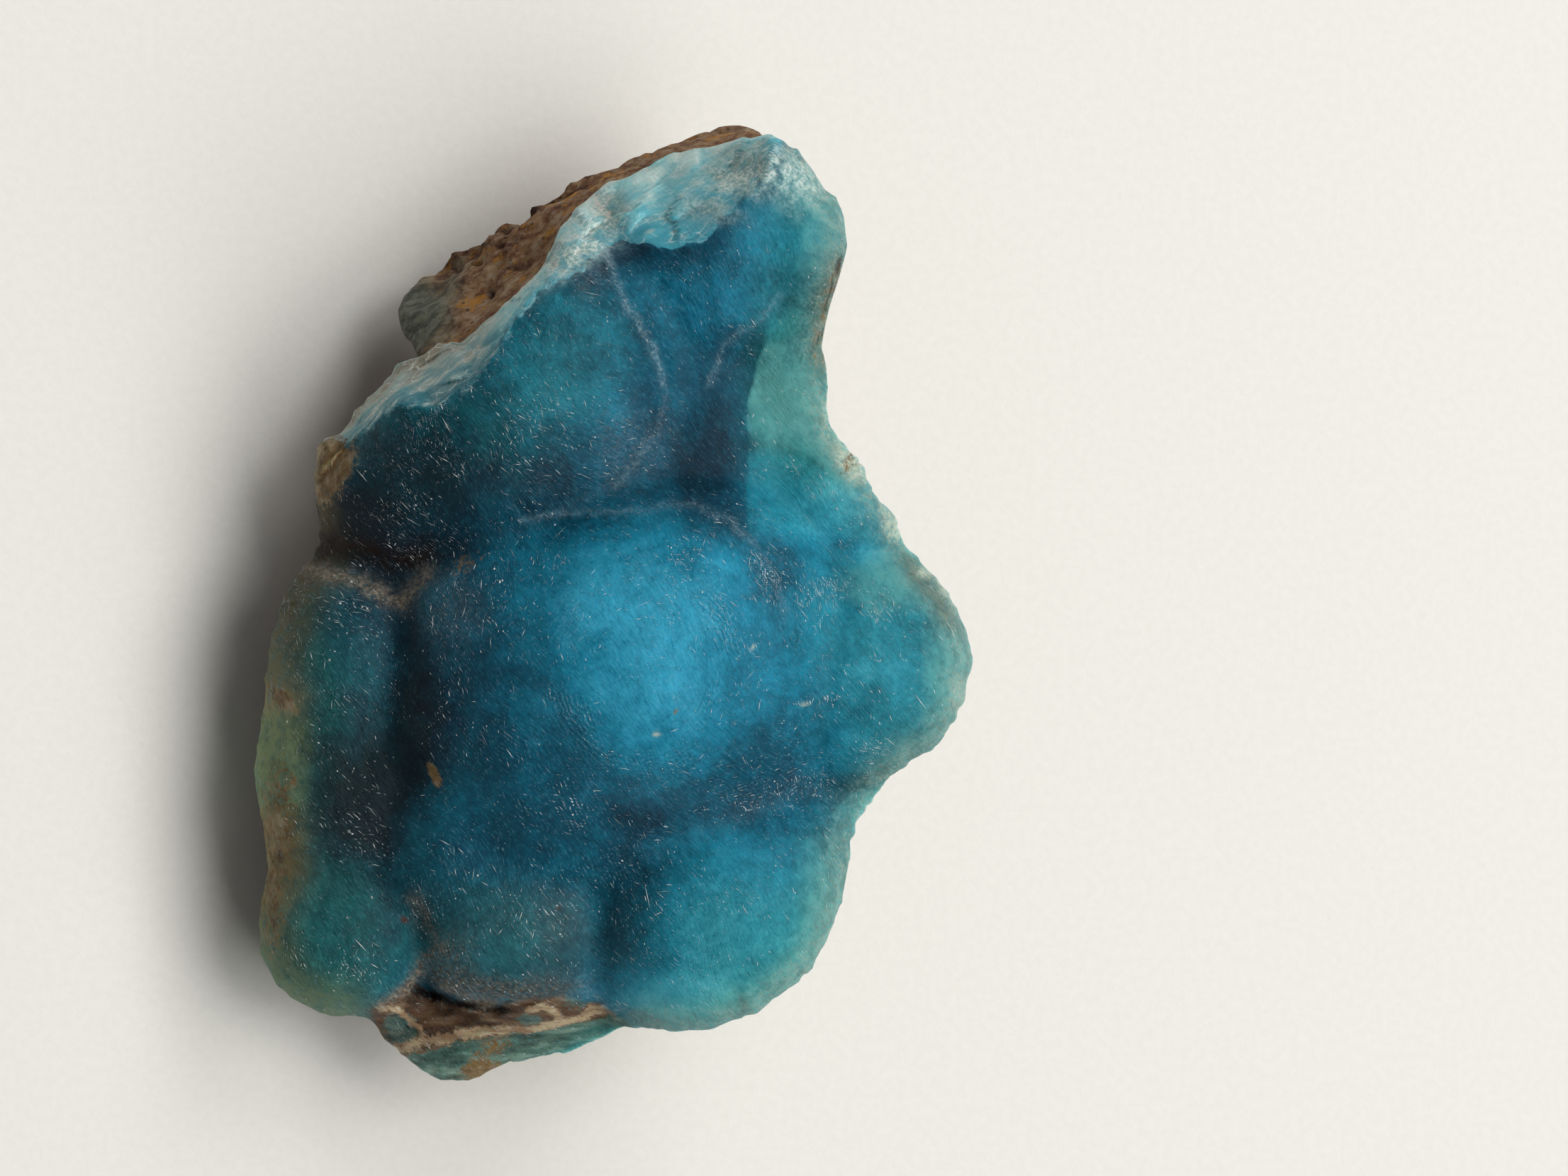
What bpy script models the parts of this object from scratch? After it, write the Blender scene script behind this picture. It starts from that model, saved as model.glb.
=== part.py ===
"""Raw hemimorphite: a blue crust of grown-together domes on a lump of rusty limonite rock.

The piece is laid out as seen from the front of its crust, in millimetres: u to the right, v up and
h towards the viewer. place() leans that layout and stands it on the table, in metres. Each of the
two pieces is a sphere whose points are spread over the piece's outline and then raised to its
front or lowered to its back.
"""

import math

import bmesh
import bpy
import numpy as np
from mathutils import Vector, noise

MM = 0.001                      # one millimetre in metres
LEAN = math.radians(18.0)       # the front leans this far from level, its right side up
STAND = (-0.57, -0.03, 14.2)    # the layout's middle over the table, in world X, Y and Z

GAP = 0.34                      # between the crust and the rock that it grew on
BALL_STEPS = 6                  # subdivisions of the sphere that a piece starts from
BALL_SPREAD = 0.7               # 1 crowds the sphere's points to the rim, near 0 spreads them
CRUST_SHARE = 0.27              # share of the sphere's triangles that the crust keeps
ROCK_SHARE = 0.2                # and the rock

# The domes of the crust: name, middle (u, v), half widths, turn in degrees, top, and the drop
# from the top to the edge of the half widths.
DOMES = [
    ("great", -0.1, -4.9, 10.5, 10.3, 0, 7.7, 3.6),
    ("crown", 3.4, -2.3, 7.6, 7.5, 0, 8.9, 2.7),
    ("upper", -5.3, 12.0, 8.8, 7.8, 35, 7.2, 3.5),
    ("upper_left", -10.8, 7.7, 7.8, 5.8, 25, 3.8, 4.2),
    ("trough", 5.1, 9.6, 3.4, 6.6, 0, 2.8, 1.9),
    ("dip", 6.1, 18.9, 4.9, 4.9, 0, 3.4, 1.3),
    ("top_right", 12.0, 19.9, 3.6, 5.2, 0, 2.8, 2.2),
    ("top", 7.9, 24.8, 4.9, 3.7, 20, 3.0, 1.6),
    ("window", 10.6, 12.6, 3.5, 4.9, 0, 2.0, 2.2),
    ("right_mid", 11.9, 5.6, 5.2, 4.5, -35, 2.6, 2.6),
    ("right", 13.9, -3.9, 7.6, 6.8, 0, 4.9, 4.4),
    ("lower_right", 6.7, -17.9, 7.6, 7.6, 0, 5.9, 3.8),
    ("lower_mid", -4.8, -18.7, 5.4, 4.9, 0, 3.5, 2.5),
    ("mid_low", -7.5, -13.6, 5.4, 4.5, 0, 3.6, 2.1),
    ("low_left", -16.2, -19.3, 5.4, 5.2, 0, 1.6, 2.6),
    ("left_low", -14.6, -11.6, 6.6, 6.4, 0, 2.2, 2.3),
    ("left", -15.3, -3.5, 5.2, 5.8, 0, 2.8, 2.8),
    ("ledge", -7.3, -25.0, 8.6, 3.4, 10, -1.6, 2.0),
]
DOME_MELT = 1.5                 # how softly neighbouring domes run into each other
DOME_FLOOR = -6.0               # the lowest that the front gets between domes
FRONT_LUMPS = 0.16              # height of the slow lumps on the front
FRONT_LUMP_SIZE = 3.2           # and how wide they are

# The outline of the crust, clockwise from the left end of its broken stretch.
CRUST_OUTLINE = [
    (-17.1, 9.6), (-16.0, 9.8), (-15.3, 10.3), (-14.9, 11.2), (-13.6, 12.4), (-12.8, 13.4),
    (-11.9, 14.1), (-10.7, 14.6), (-9.7, 15.2), (-8.7, 15.1), (-7.1, 16.5), (-5.6, 17.8),
    (-4.5, 19.0), (-3.5, 20.1), (-3.2, 21.5), (-1.9, 23.0), (-0.5, 24.3), (1.8, 25.2),
    (3.4, 26.3), (5.7, 26.7), (8.2, 27.2), (9.3, 27.4), (10.3, 26.6), (11.6, 25.5),
    (12.1, 24.5), (13.2, 23.5), (13.7, 22.6), (13.6, 21.9), (13.9, 20.6), (13.7, 19.6),
    (12.8, 18.3), (12.5, 16.3), (12.2, 14.9), (12.6, 13.2), (12.6, 11.4), (12.9, 10.0),
    (13.6, 9.0), (14.5, 8.2), (15.3, 6.3), (16.3, 5.3), (17.1, 3.5), (18.4, 2.0),
    (19.8, 0.3), (20.7, -1.6), (21.0, -3.5), (20.4, -5.9), (19.0, -8.3), (17.6, -9.1),
    (16.1, -10.3), (15.1, -11.6), (14.0, -13.3), (13.8, -15.4), (13.1, -18.1), (12.0, -20.6),
    (10.1, -22.5), (8.0, -23.9), (5.3, -24.8), (3.0, -24.8), (0.8, -24.7), (-0.5, -25.4),
    (-3.4, -26.4), (-6.3, -26.9), (-8.0, -27.9), (-10.3, -27.9), (-12.2, -26.5), (-13.5, -25.3),
    (-14.4, -23.9), (-15.5, -24.3), (-18.0, -23.6), (-19.7, -22.3), (-20.5, -20.4),
    (-20.7, -18.1), (-20.2, -16.2), (-20.3, -13.6), (-20.9, -10.3), (-20.7, -8.0),
    (-20.3, -5.3), (-19.8, -2.0), (-19.2, 0.1), (-18.2, 1.8), (-17.1, 3.1), (-17.0, 4.4),
    (-17.3, 7.0), (-17.1, 8.4),
]

# The outline of the rock: the stretch that shows past the broken face, then the hidden rest.
ROCK_OUTLINE = [
    (-11.3, 14.8), (-11.6, 15.5), (-11.9, 16.5), (-11.6, 17.8), (-11.0, 18.9), (-9.4, 20.5),
    (-7.4, 21.4), (-5.4, 22.0), (-4.5, 23.0), (-2.6, 24.2), (-1.6, 25.3), (-0.5, 25.3),
    (1.5, 26.0), (3.6, 27.0), (5.1, 27.8), (7.5, 27.9), (9.1, 27.4), (9.4, 25.2),
    (10.6, 22.7), (10.2, 19.4), (9.4, 16.1), (9.4, 12.0), (10.2, 8.7), (11.9, 5.8),
    (13.9, 2.1), (16.2, -1.6), (15.6, -5.3), (13.1, -8.2), (10.6, -11.5), (9.8, -15.6),
    (8.2, -18.9), (4.9, -21.0), (0.3, -21.8), (-3.4, -23.4), (-7.1, -24.3), (-10.0, -23.9),
    (-12.4, -21.8), (-15.7, -20.1), (-17.0, -16.9), (-16.8, -12.3), (-17.0, -8.2),
    (-16.4, -4.1), (-15.3, -0.4), (-14.1, 2.9), (-14.1, 6.2), (-13.1, 9.5), (-11.6, 12.0),
]

# The upper left side of the crust is broken off. The break starts at this line on the front and
# ends at the outline, FRACTURE_LIP over the rock. Its line runs in the direction FRACTURE_TURN.
FRACTURE_EDGE = [
    (-17.4, 6.6), (-14.8, 9.3), (-12.2, 11.5), (-10.0, 11.2), (-7.5, 13.0), (-6.7, 14.0),
    (-5.4, 16.1), (-4.2, 17.8), (-3.0, 18.8), (-1.9, 18.9), (-1.3, 19.4), (-0.6, 20.6),
    (0.1, 21.1), (0.7, 21.2), (2.0, 20.8), (3.6, 20.6), (4.9, 20.8), (5.7, 21.3),
    (6.5, 22.3), (7.7, 23.1), (9.0, 24.8), (9.8, 26.8),
]
FRACTURE_TURN = math.radians(31.6)
FRACTURE_LIP = 0.4
FRACTURE_ENDS = 4.5             # the break deepens to the rock over this length from its ends
FRACTURE_STEPS = 0.5            # height of the small steps in the break
FRACTURE_STEP_SIZE = 2.4        # and how long they are
BREAK_START = (-17.1, 9.6)      # where the outline's broken stretch starts and ends
BREAK_END = (9.3, 27.4)

# The face where the crust and the rock meet: a low dome, with swells (u, v, height, width).
BED_MIDDLE = (2.0, -2.0)
BED_TOP = 3.0
BED_FALL = (0.017, 0.0075)
BED_SWELLS = [(-8.0, 13.0, 2.2, 13.4), (-7.0, -25.0, -2.0, 6.3)]

CRUST_ROUND = 2.6               # width of the rounding of the crust's rim, at the front
CRUST_ROUND_BROKEN = 0.5        # and where it is broken
CRUST_ROUND_BACK = 2.0          # and at the back
ROCK_ROUND = 1.2
ROCK_ROUND_BACK = 9.0
ROCK_RIM = 0.12                 # how far down the rock's side its outline lies
ROCK_FALL = 1.35                # slope of the rock that shows past the break
ROCK_LUMPS = 1.0                # height of the rock's lumps
ROCK_LUMP_SIZE = 6.0            # width of its lumps
ROCK_KNOB_SIZE = 2.4            # and of the knobs on them
ROCK_LEAST = 3.0                # the least thickness of the rock under the crust
ROCK_SINK = 1.1                 # how much of the rock's underside is cut away by the flat
ROCK_RISE_START = 4.0           # right of this u the underside climbs away from the table
ROCK_RISE = 0.9
ROCK_END_START = 11.0           # and past this v, so the narrow end overhangs
ROCK_END_RISE = 1.0


def smooth_max(a, b, melt):
    share = np.clip(0.5 + 0.5 * (a - b) / melt, 0.0, 1.0)
    return b * (1.0 - share) + a * share + melt * share * (1.0 - share)


def ease(x, low, high):
    share = np.clip((x - low) / (high - low), 0.0, 1.0)
    return share * share * (3.0 - 2.0 * share)


def quarter_round(distance, width):
    """From 0 at the rim to 1 at the given width, along a quarter circle."""
    return np.sqrt(1.0 - (1.0 - np.clip(distance / width, 0.0, 1.0)) ** 2)


def lumps(u, v, h, size, seed):
    """Smooth noise from -1 to 1, whose lumps are about the given size."""
    points = np.stack(np.broadcast_arrays(u, v, h), axis=-1) / size + seed
    return np.array([noise.noise(Vector(point)) for point in points])


def closed_curve(points, steps=5):
    """A smooth closed curve through the points."""
    p = np.array(points)
    before, after, beyond = np.roll(p, 1, 0), np.roll(p, -1, 0), np.roll(p, -2, 0)
    runs = []
    for t in np.linspace(0.0, 1.0, steps, endpoint=False):
        runs.append(0.5 * (2 * p + (after - before) * t
                           + (2 * before - 5 * p + 4 * after - beyond) * t ** 2
                           + (3 * p - before - 3 * after + beyond) * t ** 3))
    return np.stack(runs, axis=1).reshape(-1, 2)


def radius_at(curve, angle):
    """How far the closed curve lies from the middle of the layout, in each direction."""
    angles = np.arctan2(curve[:, 1], curve[:, 0])
    order = np.argsort(angles)
    return np.interp(angle, angles[order], np.hypot(*curve[order].T), period=2 * math.pi)


def distance_to(curve, u, v):
    """The distance from each point to the closed curve."""
    start = curve
    step = np.roll(curve, -1, 0) - curve
    length = np.maximum((step ** 2).sum(1), 1e-12)
    best = np.full(len(u), np.inf)
    for (a, b), (da, db), size in zip(start, step, length):
        t = np.clip(((u - a) * da + (v - b) * db) / size, 0.0, 1.0)
        best = np.minimum(best, np.hypot(u - a - t * da, v - b - t * db))
    return best


def domes(u, v):
    """Height of the unbroken front of the crust."""
    height = np.full(np.shape(u), DOME_FLOOR)
    for name, mid_u, mid_v, half_u, half_v, turn, top, drop in DOMES:
        c, s = math.cos(math.radians(turn)), math.sin(math.radians(turn))
        a = ((u - mid_u) * c + (v - mid_v) * s) / half_u
        b = ((v - mid_v) * c - (u - mid_u) * s) / half_v
        reach = a * a + b * b
        height = smooth_max(height, top - drop * (0.7 * reach + 0.3 * reach * reach), DOME_MELT)
    return height + FRONT_LUMPS * lumps(u, v, 0.0, FRONT_LUMP_SIZE, 7.0)


def bed(u, v):
    """Height of the face where the crust and the rock meet."""
    height = BED_TOP - BED_FALL[0] * (u - BED_MIDDLE[0]) ** 2 - BED_FALL[1] * (v - BED_MIDDLE[1]) ** 2
    for mid_u, mid_v, swell, width in BED_SWELLS:
        height = height + swell * np.exp(-((u - mid_u) ** 2 + (v - mid_v) ** 2) / width ** 2)
    return height


def along_break(u, v):
    """Turned coordinates: along the break to the upper right, and out across it."""
    c, s = math.cos(FRACTURE_TURN), math.sin(FRACTURE_TURN)
    return u * c + v * s, v * c - u * s


def broken_stretch():
    """The outline of the crust along its break, in turned coordinates."""
    start = CRUST_OUTLINE.index(BREAK_START)
    end = CRUST_OUTLINE.index(BREAK_END)
    u, v = np.array(CRUST_OUTLINE[start:end + 1]).T
    return along_break(u, v)


def front(u, v):
    """Height of the crust's front with its break, and how far across the break each point is."""
    height = domes(u, v)
    edge_u, edge_v = np.array(FRACTURE_EDGE).T
    rows = np.linspace(0, len(edge_u) - 1, 300)
    edge_u = np.interp(rows, np.arange(len(edge_u)), edge_u)
    edge_v = np.interp(rows, np.arange(len(edge_v)), edge_v)
    edge_along, edge_out = along_break(edge_u, edge_v)
    along, out = along_break(u, v)
    rim_along, rim_out = broken_stretch()
    start = np.interp(along, edge_along, edge_out)
    end = np.maximum(np.interp(along, rim_along, rim_out), start + 0.3)
    c, s = math.cos(FRACTURE_TURN), math.sin(FRACTURE_TURN)
    high = np.interp(along, edge_along, domes(edge_u, edge_v))
    deep = bed(along * c - end * s, along * s + end * c) + FRACTURE_LIP
    from_end = np.minimum(along - rim_along[0], rim_along[-1] - along)
    low = high + (deep - high) * ease(from_end, -0.5 * FRACTURE_ENDS, FRACTURE_ENDS)
    across = np.clip((out - start) / (end - start), -1.0, 1.0)
    steps = FRACTURE_STEPS * lumps(along, out * 2.0, 0.0, FRACTURE_STEP_SIZE, 3.0) * ease(across, 0.0, 0.2)
    face = high + (low - high) * across + steps * ease(1.0 - across, 0.0, 0.2)
    height = np.where(across > 0.0, np.minimum(height, face), height)
    return np.maximum(height, bed(u, v) + FRACTURE_LIP), across


def ball(steps):
    """A sphere of radius 1 about the origin, as a bmesh, and its points as an array."""
    sphere = bmesh.new()
    bmesh.ops.create_icosphere(sphere, subdivisions=steps, radius=1.0)
    return sphere, np.array([vertex.co for vertex in sphere.verts])


def spread(points, curve):
    """Lays the sphere's points over the outline, front and back alike."""
    tilt = np.arccos(np.clip(np.abs(points[:, 2]), 0.0, 1.0))
    reach = np.sin(BALL_SPREAD * tilt) / math.sin(BALL_SPREAD * math.pi / 2)
    angle = np.arctan2(points[:, 1], points[:, 0])
    radius = reach * radius_at(curve, angle)
    return radius * np.cos(angle), radius * np.sin(angle)


def place(u, v, h):
    """From the layout in millimetres to the world in metres."""
    x = u * math.cos(LEAN) - h * math.sin(LEAN) + STAND[0]
    z = u * math.sin(LEAN) + h * math.cos(LEAN) + STAND[2]
    return np.stack([x, v + STAND[1], z], axis=-1) * MM


def make_object(name, sphere, points, material, collection):
    for vertex, point in zip(sphere.verts, points):
        vertex.co = point
    mesh = bpy.data.meshes.new(name)
    sphere.to_mesh(mesh)
    sphere.free()
    mesh.shade_smooth()
    mesh.set_sharp_from_angle(angle=math.radians(50))
    mesh.materials.append(material)
    item = bpy.data.objects.new(name, mesh)
    collection.objects.link(item)
    return item


def thin_out(item, share):
    decimate = item.modifiers.new("thin_out", "DECIMATE")
    decimate.decimate_type = "COLLAPSE"
    decimate.ratio = share


def make_material(name, colour, roughness):
    material = bpy.data.materials.new(name)
    material.use_nodes = True
    shader = material.node_tree.nodes["Principled BSDF"]
    shader.inputs["Base Color"].default_value = (*colour, 1.0)
    shader.inputs["Roughness"].default_value = roughness
    shader.inputs["Metallic"].default_value = 0.0
    return material


def make_crust(collection):
    sphere, points = ball(BALL_STEPS)
    curve = closed_curve(CRUST_OUTLINE)
    u, v = spread(points, curve)
    rim = distance_to(curve, u, v)
    top, across = front(u, v)
    bottom = bed(u, v)
    middle = 0.5 * (top + bottom)
    half = 0.5 * (top - bottom)
    width = CRUST_ROUND + (CRUST_ROUND_BROKEN - CRUST_ROUND) * ease(across, -0.1, 0.3)
    raised = middle + half * quarter_round(rim, width)
    lowered = middle - half * quarter_round(rim, CRUST_ROUND_BACK)
    h = np.where(points[:, 2] >= 0.0, raised, lowered)
    material = make_material("hemimorphite", (0.05, 0.27, 0.36), 0.35)
    crust = make_object("hemimorphite_crust", sphere, place(u, v, h), material, collection)
    thin_out(crust, CRUST_SHARE)


def underside(u, v):
    """Height of the rock's underside, a little below the flat that it rests on."""
    table = (-STAND[2] - u * math.sin(LEAN)) / math.cos(LEAN) - ROCK_SINK
    start = (-STAND[2] - ROCK_RISE_START * math.sin(LEAN)) / math.cos(LEAN) - ROCK_SINK
    right = start + ROCK_RISE * (u - ROCK_RISE_START)
    end = table + ROCK_END_RISE * (v - ROCK_END_START)
    return smooth_max(smooth_max(table, right, 1.0), end, 1.0)


def make_rock(collection, cutters):
    sphere, points = ball(BALL_STEPS)
    curve = closed_curve(ROCK_OUTLINE)
    crust_curve = closed_curve(CRUST_OUTLINE)
    u, v = spread(points, curve)
    inside = np.hypot(u, v) < radius_at(crust_curve, np.arctan2(v, u))
    past = np.where(inside, 0.0, distance_to(crust_curve, u, v))
    rim = distance_to(curve, u, v)
    top = bed(u, v) - GAP - ROCK_FALL * past
    bottom = np.minimum(underside(u, v), top - ROCK_LEAST)
    edge = top - ROCK_RIM * (top - bottom)
    raised = edge + (top - edge) * quarter_round(rim, ROCK_ROUND)
    lowered = edge - (edge - bottom) * quarter_round(rim, ROCK_ROUND_BACK)
    h = np.where(points[:, 2] >= 0.0, raised, lowered)

    bare = np.maximum(ease(past, 0.1, 1.6), ease(-points[:, 2], 0.0, 0.3))
    coarse = 0.7 - np.abs(lumps(u, v, h, ROCK_LUMP_SIZE, 11.0)) * 2.2
    fine = 0.3 - np.abs(lumps(u, v, h, ROCK_KNOB_SIZE, 23.0))
    relief = bare * ROCK_LUMPS * (coarse + 0.8 * fine)
    for vertex, point in zip(sphere.verts, np.stack([u, v, h], axis=-1)):
        vertex.co = point
    sphere.normal_update()
    normals = np.array([vertex.normal for vertex in sphere.verts])
    u, v, h = (np.stack([u, v, h]) + normals.T * relief)
    material = make_material("limonite", (0.13, 0.075, 0.04), 0.85)
    rock = make_object("limonite_matrix", sphere, place(u, v, h), material, collection)
    thin_out(rock, ROCK_SHARE)
    cut_flat(rock, cutters)


def cut_flat(rock, cutters):
    """Cuts the rock off at the table, which leaves the flat face that the piece rests on."""
    size = 80 * MM
    block = bmesh.new()
    bmesh.ops.create_cube(block, size=size)
    bmesh.ops.translate(block, verts=block.verts, vec=(0.0, 0.0, -size / 2))
    mesh = bpy.data.meshes.new("table_cutter")
    block.to_mesh(mesh)
    block.free()
    cutter = bpy.data.objects.new("table_cutter", mesh)
    cutter.hide_render = True
    cutter.display_type = "WIRE"
    cutters.objects.link(cutter)
    cut = rock.modifiers.new("cut_flat", "BOOLEAN")
    cut.operation = "DIFFERENCE"
    cut.solver = "EXACT"
    cut.object = cutter


def main():
    for item in list(bpy.data.objects):
        bpy.data.objects.remove(item, do_unlink=True)
    part = bpy.data.collections.new("raw_hemimorphite")
    cutters = bpy.data.collections.new("cutters")
    bpy.context.scene.collection.children.link(part)
    bpy.context.scene.collection.children.link(cutters)
    make_crust(part)
    make_rock(part, cutters)


main()
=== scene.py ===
"""Looks of the raw hemimorphite: fine surfaces over the frame's crust and rock, and a studio.

The forms repeat the model's own layout, in millimetres as seen from the front of the crust: u to
the right, v up and h towards the viewer. place() leans the layout and stands it on the table.
"""

import math

import bmesh
import bpy
import numpy as np
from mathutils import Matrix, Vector, noise


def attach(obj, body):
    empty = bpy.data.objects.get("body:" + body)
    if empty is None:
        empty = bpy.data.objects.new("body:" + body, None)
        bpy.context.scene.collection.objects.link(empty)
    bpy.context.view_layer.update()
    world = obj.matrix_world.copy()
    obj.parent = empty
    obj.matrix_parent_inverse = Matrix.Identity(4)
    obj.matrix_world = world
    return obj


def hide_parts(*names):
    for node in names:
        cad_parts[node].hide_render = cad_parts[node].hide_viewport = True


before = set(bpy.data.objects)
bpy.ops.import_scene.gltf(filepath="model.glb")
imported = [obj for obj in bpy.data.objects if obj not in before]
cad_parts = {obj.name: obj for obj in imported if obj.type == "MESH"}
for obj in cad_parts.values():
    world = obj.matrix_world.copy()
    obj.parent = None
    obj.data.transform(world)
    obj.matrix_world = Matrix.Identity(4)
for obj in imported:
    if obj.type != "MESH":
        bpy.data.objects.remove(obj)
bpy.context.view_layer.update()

MM = 0.001  # in metres
LEAN = math.radians(18)  # of the front from level, its right side up
STAND = (-0.57, -0.03, 14.2)  # the layout's middle over the table, in X, Y and Z
GAP = 0.34  # between the crust and the rock

# The crust's domes: top, drop to the edge, middle (u, v), half widths and, where it has one,
# turn in degrees
DOMES = [
    (7.7, 3.6, -0.1, -4.9, 10.5, 10.3), (8.9, 2.7, 3.4, -2.3, 7.6, 7.5),
    (7.2, 3.5, -5.3, 12, 8.8, 7.8, 35), (3.8, 4.2, -10.8, 7.7, 7.8, 5.8, 25),
    (2.8, 1.9, 5.1, 9.6, 3.4, 6.6), (3.4, 1.3, 6.1, 18.9, 4.9, 4.9), (2.8, 2.2, 12, 19.9, 3.6, 5.2),
    (3, 1.6, 7.9, 24.8, 4.9, 3.7, 20), (2, 2.2, 10.6, 12.6, 3.5, 4.9),
    (2.6, 2.6, 11.9, 5.6, 5.2, 4.5, -35), (4.9, 4.4, 13.9, -3.9, 7.6, 6.8),
    (5.9, 3.8, 6.7, -17.9, 7.6, 7.6), (3.5, 2.5, -4.8, -18.7, 5.4, 4.9),
    (3.6, 2.1, -7.5, -13.6, 5.4, 4.5), (1.6, 2.6, -16.2, -19.3, 5.4, 5.2),
    (2.2, 2.3, -14.6, -11.6, 6.6, 6.4), (2.8, 2.8, -15.3, -3.5, 5.2, 5.8),
    (-1.6, 2, -7.3, -25, 8.6, 3.4, 10),
]
DOME_MELT, DOME_FLOOR = 1.5, -6
FRONT_LUMPS, FRONT_LUMP_SIZE = 0.16, 3.2

# Outlines, clockwise, the crust's from the left end of its broken stretch
CRUST_OUTLINE = [
    (-17.1, 9.6), (-16, 9.8), (-15.3, 10.3), (-14.9, 11.2), (-13.6, 12.4), (-12.8, 13.4),
    (-11.9, 14.1), (-10.7, 14.6), (-9.7, 15.2), (-8.7, 15.1), (-7.1, 16.5), (-5.6, 17.8),
    (-4.5, 19), (-3.5, 20.1), (-3.2, 21.5), (-1.9, 23), (-0.5, 24.3), (1.8, 25.2), (3.4, 26.3),
    (5.7, 26.7), (8.2, 27.2), (9.3, 27.4), (10.3, 26.6), (11.6, 25.5), (12.1, 24.5), (13.2, 23.5),
    (13.7, 22.6), (13.6, 21.9), (13.9, 20.6), (13.7, 19.6), (12.8, 18.3), (12.5, 16.3),
    (12.2, 14.9), (12.6, 13.2), (12.6, 11.4), (12.9, 10), (13.6, 9), (14.5, 8.2), (15.3, 6.3),
    (16.3, 5.3), (17.1, 3.5), (18.4, 2), (19.8, 0.3), (20.7, -1.6), (21, -3.5), (20.4, -5.9),
    (19, -8.3), (17.6, -9.1), (16.1, -10.3), (15.1, -11.6), (14, -13.3), (13.8, -15.4),
    (13.1, -18.1), (12, -20.6), (10.1, -22.5), (8, -23.9), (5.3, -24.8), (3, -24.8), (0.8, -24.7),
    (-0.5, -25.4), (-3.4, -26.4), (-6.3, -26.9), (-8, -27.9), (-10.3, -27.9), (-12.2, -26.5),
    (-13.5, -25.3), (-14.4, -23.9), (-15.5, -24.3), (-18, -23.6), (-19.7, -22.3), (-20.5, -20.4),
    (-20.7, -18.1), (-20.2, -16.2), (-20.3, -13.6), (-20.9, -10.3), (-20.7, -8), (-20.3, -5.3),
    (-19.8, -2), (-19.2, 0.1), (-18.2, 1.8), (-17.1, 3.1), (-17, 4.4), (-17.3, 7), (-17.1, 8.4),
]
BREAK_POINTS = 22  # the first of them, along the break
ROCK_OUTLINE = [
    (-11.3, 14.8), (-11.6, 15.5), (-11.9, 16.5), (-11.6, 17.8), (-11, 18.9), (-9.4, 20.5),
    (-7.4, 21.4), (-5.4, 22), (-4.5, 23), (-2.6, 24.2), (-1.6, 25.3), (-0.5, 25.3), (1.5, 26),
    (3.6, 27), (5.1, 27.8), (7.5, 27.9), (9.1, 27.4), (9.4, 25.2), (10.6, 22.7), (10.2, 19.4),
    (9.4, 16.1), (9.4, 12), (10.2, 8.7), (11.9, 5.8), (13.9, 2.1), (16.2, -1.6), (15.6, -5.3),
    (13.1, -8.2), (10.6, -11.5), (9.8, -15.6), (8.2, -18.9), (4.9, -21), (0.3, -21.8),
    (-3.4, -23.4), (-7.1, -24.3), (-10, -23.9), (-12.4, -21.8), (-15.7, -20.1), (-17, -16.9),
    (-16.8, -12.3), (-17, -8.2), (-16.4, -4.1), (-15.3, -0.4), (-14.1, 2.9), (-14.1, 6.2),
    (-13.1, 9.5), (-11.6, 12),
]

# The break: where it meets the domes, from left to right, and its slope
BREAK_EDGE = [
    (-17.4, 6.6), (-14.8, 9.3), (-12.2, 11.5), (-10, 11.2), (-7.5, 13), (-6.7, 14), (-5.4, 16.1),
    (-4.2, 17.8), (-3, 18.8), (-1.9, 18.9), (-1.3, 19.4), (-0.6, 20.6), (0.1, 21.1), (0.7, 21.2),
    (2, 20.8), (3.6, 20.6), (4.9, 20.8), (5.7, 21.3), (6.5, 22.3), (7.7, 23.1), (9, 24.8),
    (9.8, 26.8),
]
BREAK_TURN = math.radians(31.6)
BREAK_ROWS = 300  # points along the edge
BREAK_LIP = 0.4
BREAK_LEAST = 0.3  # its least breadth
BREAK_STEPS, BREAK_STEP_SIZE = 0.5, 2.4
BREAK_FADE = 4.5
BREAK_SCALLOPS = 0.9
SCALLOP_SIZE = 1.1
BREAK_MELT = 0.7
BREAK_SHARP = (3, 5, 17.3, 18.6)  # the stretch with a sharp edge

# The bed between crust and rock, and how they are rounded
BED_MIDDLE = (2, -2)
BED_TOP = 3
BED_FALL = (0.017, 0.0075)
BED_SWELLS = [(-8, 13, 2.2, 13.4), (-7, -25, -2, 6.3)]  # middle, swell and width
CRUST_ROUND, CRUST_ROUND_BROKEN, CRUST_ROUND_BACK = 2.6, 0.5, 2
CRUST_LEAST = 0.25  # its least thickness
ROCK_ROUND, ROCK_ROUND_BACK, ROCK_RIM = 1.2, 9, 0.12
ROCK_FALL, ROCK_LEAST, ROCK_SINK = 1.35, 3, 1.1
ROCK_LUMPS, ROCK_LUMP_SIZE, ROCK_KNOB_SIZE = 1, 6, 2.4
ROCK_RISE_START, ROCK_RISE = 4, 0.9
ROCK_END_START, ROCK_END_RISE = 11, 1
PIT_DEPTH = 0.45

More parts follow.
